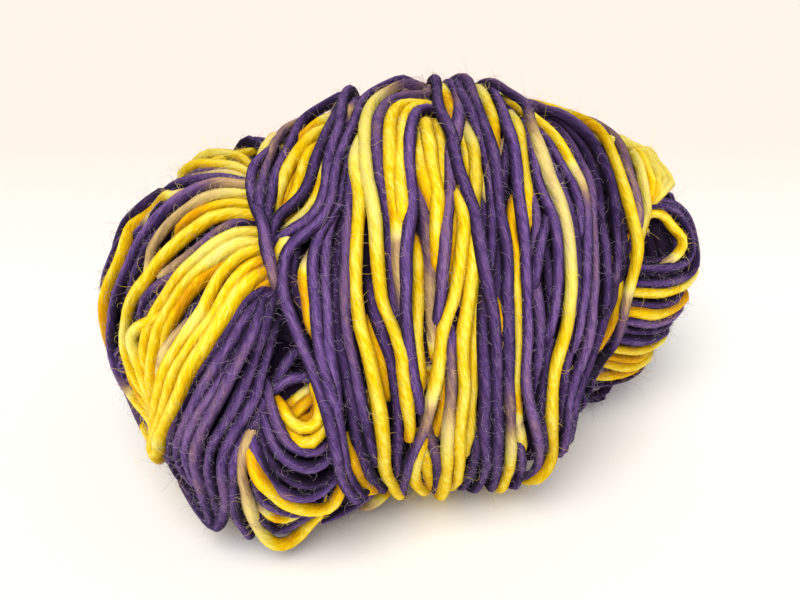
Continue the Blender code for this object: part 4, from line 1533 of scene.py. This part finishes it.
def fibre(strand, spot, knots, length, hug):
    """The bent line of one loose fibre, and the dye where it starts."""
    places, radii = strand["places"], strand["radii"]
    tangent = places[spot + 1] - places[spot - 1]
    tangent /= np.linalg.norm(tangent) + 1e-9
    outward = strand["outward"][spot]
    side = np.cross(tangent, outward)
    lean = rng.normal(0, LEAN)
    root_way = outward * math.cos(lean) + side * math.sin(lean)
    length = length * rng.uniform(*LENGTHS)
    way = root_way * rng.uniform(0.1, 1.0) * (1 - hug) + side * rng.normal(0, SPREAD)
    way = way + tangent * rng.choice([-1, 1]) * rng.uniform(0.3, 1)
    bend = rng.normal(0, BEND, 3)
    place = places[spot] + root_way * radii[spot] * ROOT_DEPTH
    line = [place]
    for _ in range(knots - 1):
        way = way / np.linalg.norm(way)
        place = place + way * length / (knots - 1)
        line.append(place)
        bend = bend + rng.normal(0, BEND_CHANGE, 3)
        way = way + np.cross(bend, way) * CURL + root_way * rng.normal(*LIFT_CHANGE)
    line = np.array(line)
    line[:, 2] = np.maximum(line[:, 2], FIBRE_FLOOR)
    return line, strand["dye"][spot]


def grow_fibres(count, host_groups, knots, length, hug):
    """Fibres on strands of these groups, evenly along all of them."""
    hosts = [strand for strand in strands if strand["group"] in host_groups]
    weights = np.array([len(strand["places"]) for strand in hosts], float)
    chosen = rng.choice(len(hosts), count, p=weights / weights.sum())
    grown = []
    for host in chosen:
        strand = hosts[host]
        spot = rng.integers(NEAR_THE_TIP, len(strand["places"]) - NEAR_THE_TIP)
        grown.append(fibre(strand, spot, knots, length, hug))
    return grown


print("fibres can grow on", len([strand for strand in strands if strand["sides"] == SIDES_ON_TOP]),
      "strands")

# %% Make fibres one mesh
FIBRE_RADIUS = 0.045
FIBRE_TAPER = 0.3


def three_sided_section():
    """The cross-section of a loose fibre, as a small closed curve."""
    section = bpy.data.curves.new("fibre_section", "CURVE")
    section.dimensions = "2D"
    spline = section.splines.new("POLY")
    spline.points.add(2)
    for point, turned in zip(spline.points, (0, 2 * math.pi / 3, 4 * math.pi / 3)):
        point.co = (FIBRE_RADIUS * MM * math.cos(turned), FIBRE_RADIUS * MM * math.sin(turned),
                    0.0, 1.0)
    spline.use_cyclic_u = True
    return bpy.data.objects.new("fibre_section", section)


section = three_sided_section()
bpy.context.scene.collection.objects.link(section)


def fibre_mesh(name, grown):
    """All fibres of one kind as one mesh."""
    curve = bpy.data.curves.new(name, "CURVE")
    curve.dimensions = "3D"
    curve.bevel_mode = "OBJECT"
    curve.bevel_object = section
    for line, _ in grown:
        add_spline(curve, line, np.linspace(1.0, FIBRE_TAPER, len(line)))
    mesh = made_mesh(name, curve)
    each = len(mesh.vertices) // len(grown)
    mark(mesh, dye=np.repeat([value for _, value in grown], each))
    mesh.shade_smooth()
    return mesh


print("a fibre is", 2 * FIBRE_RADIUS, "mm thick at its root")

# %% Grow the loose fibres
BELLY_HOSTS = ("belly_turns", "belly_far_side")
LOBE_HOSTS = ("fat_lobe_loops", "fat_lobe_eye", "fat_lobe_far_side", "small_lobe_loops",
              "small_lobe_far_side")
Halo = namedtuple("Halo", "count hosts knots length hug")
HALOS = {
    "belly_short_fibres": Halo(15000, BELLY_HOSTS, 3, 1.7, 0.4),
    "lobe_short_fibres": Halo(14000, LOBE_HOSTS, 3, 1.7, 0.4),
    "belly_curly_fibres": Halo(2600, BELLY_HOSTS, 9, 6.0, 0.3),
    "lobe_curly_fibres": Halo(2000, LOBE_HOSTS, 9, 6.0, 0.3),
}
for name, halo in HALOS.items():
    pieces[name] = add_piece(name, fibre_mesh(name, grow_fibres(*halo)))
    print(f"{name}: {halo.count} fibres, {2 * len(pieces[name].data.polygons)} triangles")
bpy.data.objects.remove(section, do_unlink=True)

# %% [markdown]
# ## The wool's finish
#
# Wool is matte, so its shader is rough and hardly shines. The dye number picks the colour. Fibres
# run along the strand with a slight twist. A photograph of wool could be wrapped round it, but it
# would repeat: a noise that is stretched along the strand and wrapped round it draws them instead,
# in the colour and as a fine bump. The shade between strands is painted into the colour: a strand
# is painted darker where it faces its neighbours, more in purple wool than in yellow, and shows
# its full colour, a little paler, only along its crest, as a painted highlight.

# %% Name the dyes' colours
# D (0.00) and G (1.00) are the painted shade of purple and yellow wool; the finish shifts a
# strand's sides toward them, and its crest toward L and V as a painted highlight.
DYE_COLOURS = (
    (0.00, (0.060, 0.034, 0.090)),
    (0.10, (0.102, 0.052, 0.195)),
    (0.20, (0.185, 0.098, 0.280)),
    (0.32, (0.260, 0.140, 0.200)),
    (0.46, (0.600, 0.390, 0.170)),
    (0.58, (0.920, 0.720, 0.260)),
    (0.70, (1.000, 0.850, 0.150)),
    (0.84, (1.000, 0.665, 0.004)),
    (1.00, (0.850, 0.385, 0.002)),
)
PURPLE_TO_YELLOW = (0.15, 0.6)  # the dyes between which the wool's other looks change
print(len(DYE_COLOURS), "colours for the dyes")


# %% Join shader nodes with short calls
class Nodes:
    """Adds and joins nodes in a material."""

    def __init__(self, name):
        self.material = bpy.data.materials.new(name)
        self.material.use_nodes = True
        self.tree = self.material.node_tree
        self.shader = self.tree.nodes["Principled BSDF"]

    def add(self, kind, settings=(), **sockets):
        node = self.tree.nodes.new(kind)
        for key, value in dict(settings).items():
            setattr(node, key, value)
        for key, value in sockets.items():
            socket = node.inputs[int(key[1:]) if key[0] == "_" else key.replace("_", " ")]
            if isinstance(value, bpy.types.NodeSocket):
                self.tree.links.new(value, socket)
            else:
                socket.default_value = value
        return node

    def maths(self, operation, one, other=0.0):
        return self.add("ShaderNodeMath", {"operation": operation}, _0=one, _1=other).outputs[0]

    def scaled(self, value, low, high, to_low, to_high):
        return self.add("ShaderNodeMapRange", {}, Value=value, From_Min=low, From_Max=high,
                        To_Min=to_low, To_Max=to_high).outputs[0]

    def by_dye(self, dye, purple, yellow):
        return self.scaled(dye, *PURPLE_TO_YELLOW, purple, yellow)

    def noise(self, place, scale, detail, roughness=0.5):
        return self.add("ShaderNodeTexNoise", {}, Vector=place, Scale=scale, Detail=detail,
                        Roughness=roughness).outputs["Fac"]

    def mark(self, name):
        return self.add("ShaderNodeAttribute", {"attribute_name": name}).outputs["Fac"]

    def into(self, socket, value):
        self.tree.links.new(value, self.shader.inputs[socket])

    def surface(self, **values):
        for name, value in values.items():
            self.shader.inputs[name.replace("_", " ")].default_value = value


def dye_colour(nodes, value):
    """The colour of a dye number."""
    ramp = nodes.add("ShaderNodeValToRGB", {}, Fac=value)
    stops = ramp.color_ramp.elements
    while len(stops) < len(DYE_COLOURS):
        stops.new(0.5)
    for stop, (place, colour) in zip(stops, DYE_COLOURS):
        stop.position = place
        stop.color = (*colour, 1.0)
    return ramp.outputs["Color"]


print("short calls:", ", ".join(name for name in vars(Nodes) if not name.startswith("_")))

# %% Mix the wool
NOISE_SPAN = (0.3, 0.7)  # most of a noise's values lie in here
TWIST = 0.16  # radians for each millimetre along a strand
NOISE_STARTS = 0.5  # radians round a strand from the seam of its tube
STRETCHED, WRAPPED = 0.22, 1.7  # the size of the noise's space along a strand and round it
MIDDLE_DYE = 0.45


def wool_material():
    nodes = Nodes("dyed_wool")
    dye, tone, crest = nodes.mark("dye"), nodes.mark("tone"), nodes.mark("crest")

    # places in the noise: along the strand and round it, with the twist
    strand = nodes.add("ShaderNodeUVMap", {"uv_map": "along_strand"}).outputs["UV"]
    split = nodes.add("ShaderNodeSeparateXYZ", {}, Vector=strand)
    along = nodes.maths("MULTIPLY", split.outputs["X"], 1 / MM)
    turned = nodes.add("ShaderNodeMath", {"operation": "MULTIPLY_ADD"}, _0=split.outputs["Y"],
                       _1=2 * math.pi, _2=NOISE_STARTS).outputs[0]
    around = nodes.maths("ADD", turned, nodes.maths("MULTIPLY", along, TWIST))
    fibres_at = nodes.add(
        "ShaderNodeCombineXYZ", {},
        X=nodes.maths("MULTIPLY", along, STRETCHED),
        Y=nodes.maths("MULTIPLY", nodes.maths("COSINE", around), WRAPPED),
        Z=nodes.maths("MULTIPLY", nodes.maths("SINE", around), WRAPPED),
    ).outputs[0]
    fine = nodes.noise(fibres_at, 1.9, 4.0, 0.65)
    locks = nodes.noise(fibres_at, 0.7, 2.0)
    object_at = nodes.add("ShaderNodeTexCoord").outputs["Object"]
    patches = nodes.noise(object_at, 140.0, 2.0)

    # the dye varies a little from lock to lock and fibre to fibre, and from crest to side it is
    # shifted as painted light and shade: paler on the crest, deeper beside it
    from_middle = nodes.maths("SUBTRACT", MIDDLE_DYE, dye)
    painted_crest_light_and_shade = nodes.maths("MULTIPLY", from_middle, nodes.scaled(crest, 0.0, 1.0, -0.30, 0.14))
    shifts = (
        painted_crest_light_and_shade,
        nodes.scaled(locks, *NOISE_SPAN, -0.05, 0.05),
        nodes.maths("MULTIPLY", nodes.scaled(fine, *NOISE_SPAN, 0.07, -0.07),
                    nodes.scaled(dye, 0.4, 0.6, -0.4, 1.0)),
        nodes.scaled(patches, *NOISE_SPAN, -0.03, 0.03),
    )
    shifted = dye
    for shift in shifts:
        shifted = nodes.maths("ADD", shifted, shift)
    colour = dye_colour(nodes, shifted)

    # light and dark: streaks along the fibres, painted shade beside the crest and a painted
    # highlight on it, and each strand's tone, which also holds painted shade for deeper turns
    streaks = nodes.maths("MULTIPLY", nodes.scaled(fine, *NOISE_SPAN, -1.0, 1.0),
                          nodes.by_dye(dye, 0.42, 0.13))
    crest_only = nodes.maths("POWER", crest, 3.5)
    painted_side_shade = nodes.maths("MULTIPLY", nodes.maths("SUBTRACT", 1.0, crest_only),
                         nodes.by_dye(dye, 0.86, 0.38))
    shade = nodes.maths("MULTIPLY", nodes.maths("ADD", 1.0, streaks),
                        nodes.maths("SUBTRACT", nodes.by_dye(dye, 1.18, 1.05), painted_side_shade))
    tone_shade = nodes.scaled(tone, -2.0, 1.0, nodes.by_dye(dye, 0.45, 0.86), 1.06)
    shade = nodes.maths("MULTIPLY", shade, tone_shade)
    grey = nodes.add("ShaderNodeCombineColor", {}, Red=shade, Green=shade, Blue=shade)
    tinted = nodes.add("ShaderNodeMix", {"data_type": "RGBA", "blend_type": "MULTIPLY"},
                       _0=1.0, _6=colour, _7=grey.outputs[0])
    nodes.into("Base Color", tinted.outputs[2])

    relief = nodes.maths("ADD", fine, nodes.maths("MULTIPLY", locks, 1.4))
    bump = nodes.add("ShaderNodeBump", {}, Strength=0.9, Distance=0.0006, Height=relief)
    nodes.into("Normal", bump.outputs[0])
    nodes.surface(Roughness=0.88, Specular_IOR_Level=0.03, Sheen_Weight=0.02,
                  Sheen_Roughness=0.5)
    return nodes.material


wool = wool_material()
print("finish:", wool.name)


# %% Mix the loose fibres' finish, and use both
def fibre_material():
    nodes = Nodes("loose_fibre")
    dye = nodes.mark("dye")
    pale = nodes.add("ShaderNodeMix", {"data_type": "RGBA"}, _0=nodes.by_dye(dye, 0.32, 0.12),
                     _6=dye_colour(nodes, dye), _7=(0.70, 0.62, 0.58, 1.0))
    nodes.into("Base Color", pale.outputs[2])
    nodes.surface(Roughness=0.6, Sheen_Weight=0.2)
    return nodes.material


loose = fibre_material()
for name, piece in pieces.items():
    piece.data.materials.clear()
    piece.data.materials.append(loose if name.endswith("_fibres") else wool)
for heart in hearts:
    heart.data.materials.append(wool)
print("finish:", loose.name)

# %% [markdown]
# ## The room
#
# The photograph is bright and soft: a white table that turns to a warm cream farther back, light
# from all round, and a broad light above and in front that models the hank's roundness. Lamps near
# the hank would light it unevenly from other sides, so the lights are far away, and the air round
# it gives the rest. The air is brightest near the horizon, so a low view has a pale background
# too. The floor is one wide flat sheet whose tint changes with the distance from the hank.

# %% Lay the floor
FLOOR_REACH = 20.0
WHITE_TABLE, WARM_CREAM = (0.93, 0.92, 0.90, 1.0), (0.93, 0.80, 0.73, 1.0)
TURNS_WARM, TURNS_WHITE = (0.09, 0.24), (0.8, 5.0)  # metres behind the hank


def floor_material():
    nodes = Nodes("pale_floor")
    at = nodes.add("ShaderNodeTexCoord").outputs["Object"]
    split = nodes.add("ShaderNodeSeparateXYZ", {}, Vector=at)
    back_x, back_y = -to_camera[0] / math.cos(VIEW_ABOVE), -to_camera[1] / math.cos(VIEW_ABOVE)
    away = nodes.maths("ADD", nodes.maths("MULTIPLY", split.outputs["X"], back_x),
                       nodes.maths("MULTIPLY", split.outputs["Y"], back_y))
    warm = nodes.maths("MULTIPLY", nodes.scaled(away, *TURNS_WARM, 0.0, 1.0),
                       nodes.scaled(away, *TURNS_WHITE, 1.0, 0.0))
    tint = nodes.add("ShaderNodeMix", {"data_type": "RGBA"}, _0=warm, _6=WHITE_TABLE,
                     _7=WARM_CREAM)
    nodes.into("Base Color", tint.outputs[2])
    nodes.surface(Roughness=0.8, Specular_IOR_Level=0.1)
    return nodes.material


sheet = bpy.data.meshes.new("pale_floor")
shape = bmesh.new()
bmesh.ops.create_grid(shape, x_segments=1, y_segments=1, size=FLOOR_REACH)
shape.to_mesh(sheet)
shape.free()
floor = bpy.data.objects.new("pale_floor", sheet)
floor.data.materials.append(floor_material())
bpy.context.scene.collection.objects.link(floor)
print("floor:", floor.name)

# %% Light the hank
AIR_COLOUR = (1.0, 0.97, 0.95, 1.0)
AIR_FALL = {"From Min": 0.05, "From Max": 0.6, "To Min": 1.05, "To Max": 0.2}


def wide_sun(name, around_deg, above_deg, spread_deg, strength, colour):
    """A light from far away, as soft as a window that fills `spread_deg` of the view."""
    data = bpy.data.lights.new(name, "SUN")
    data.energy = strength
    data.angle = math.radians(spread_deg)
    data.color = colour
    light = bpy.data.objects.new(name, data)
    around, above = math.radians(around_deg), math.radians(above_deg)
    towards = Vector((math.sin(around) * math.cos(above), -math.cos(around) * math.cos(above),
                      math.sin(above)))
    light.location = towards
    light.rotation_euler = towards.to_track_quat("Z", "Y").to_euler()
    bpy.context.scene.collection.objects.link(light)


wide_sun("key_light", -40, 55, 40, 3.1, (1.0, 0.98, 0.95))
wide_sun("fill_light", 30, 40, 70, 0.4, (1.0, 0.97, 0.94))
air = bpy.data.worlds.new("soft_air")
air.use_nodes = True
backdrop = air.node_tree.nodes["Background"]
backdrop.inputs["Color"].default_value = AIR_COLOUR
direction = air.node_tree.nodes.new("ShaderNodeTexCoord")
height = air.node_tree.nodes.new("ShaderNodeSeparateXYZ")
fall = air.node_tree.nodes.new("ShaderNodeMapRange")
fall.interpolation_type = "SMOOTHSTEP"
for socket, value in AIR_FALL.items():
    fall.inputs[socket].default_value = value
air.node_tree.links.new(direction.outputs["Generated"], height.inputs[0])
air.node_tree.links.new(height.outputs["Z"], fall.inputs["Value"])
air.node_tree.links.new(fall.outputs["Result"], backdrop.inputs["Strength"])
bpy.context.scene.world = air
bpy.context.scene.view_settings.view_transform = "Standard"
print("lights:", [light.name for light in bpy.data.lights])

# %% [markdown]
# ## How far the wool stands out
#
# The wool may stand a little proud of the solid, but not much.
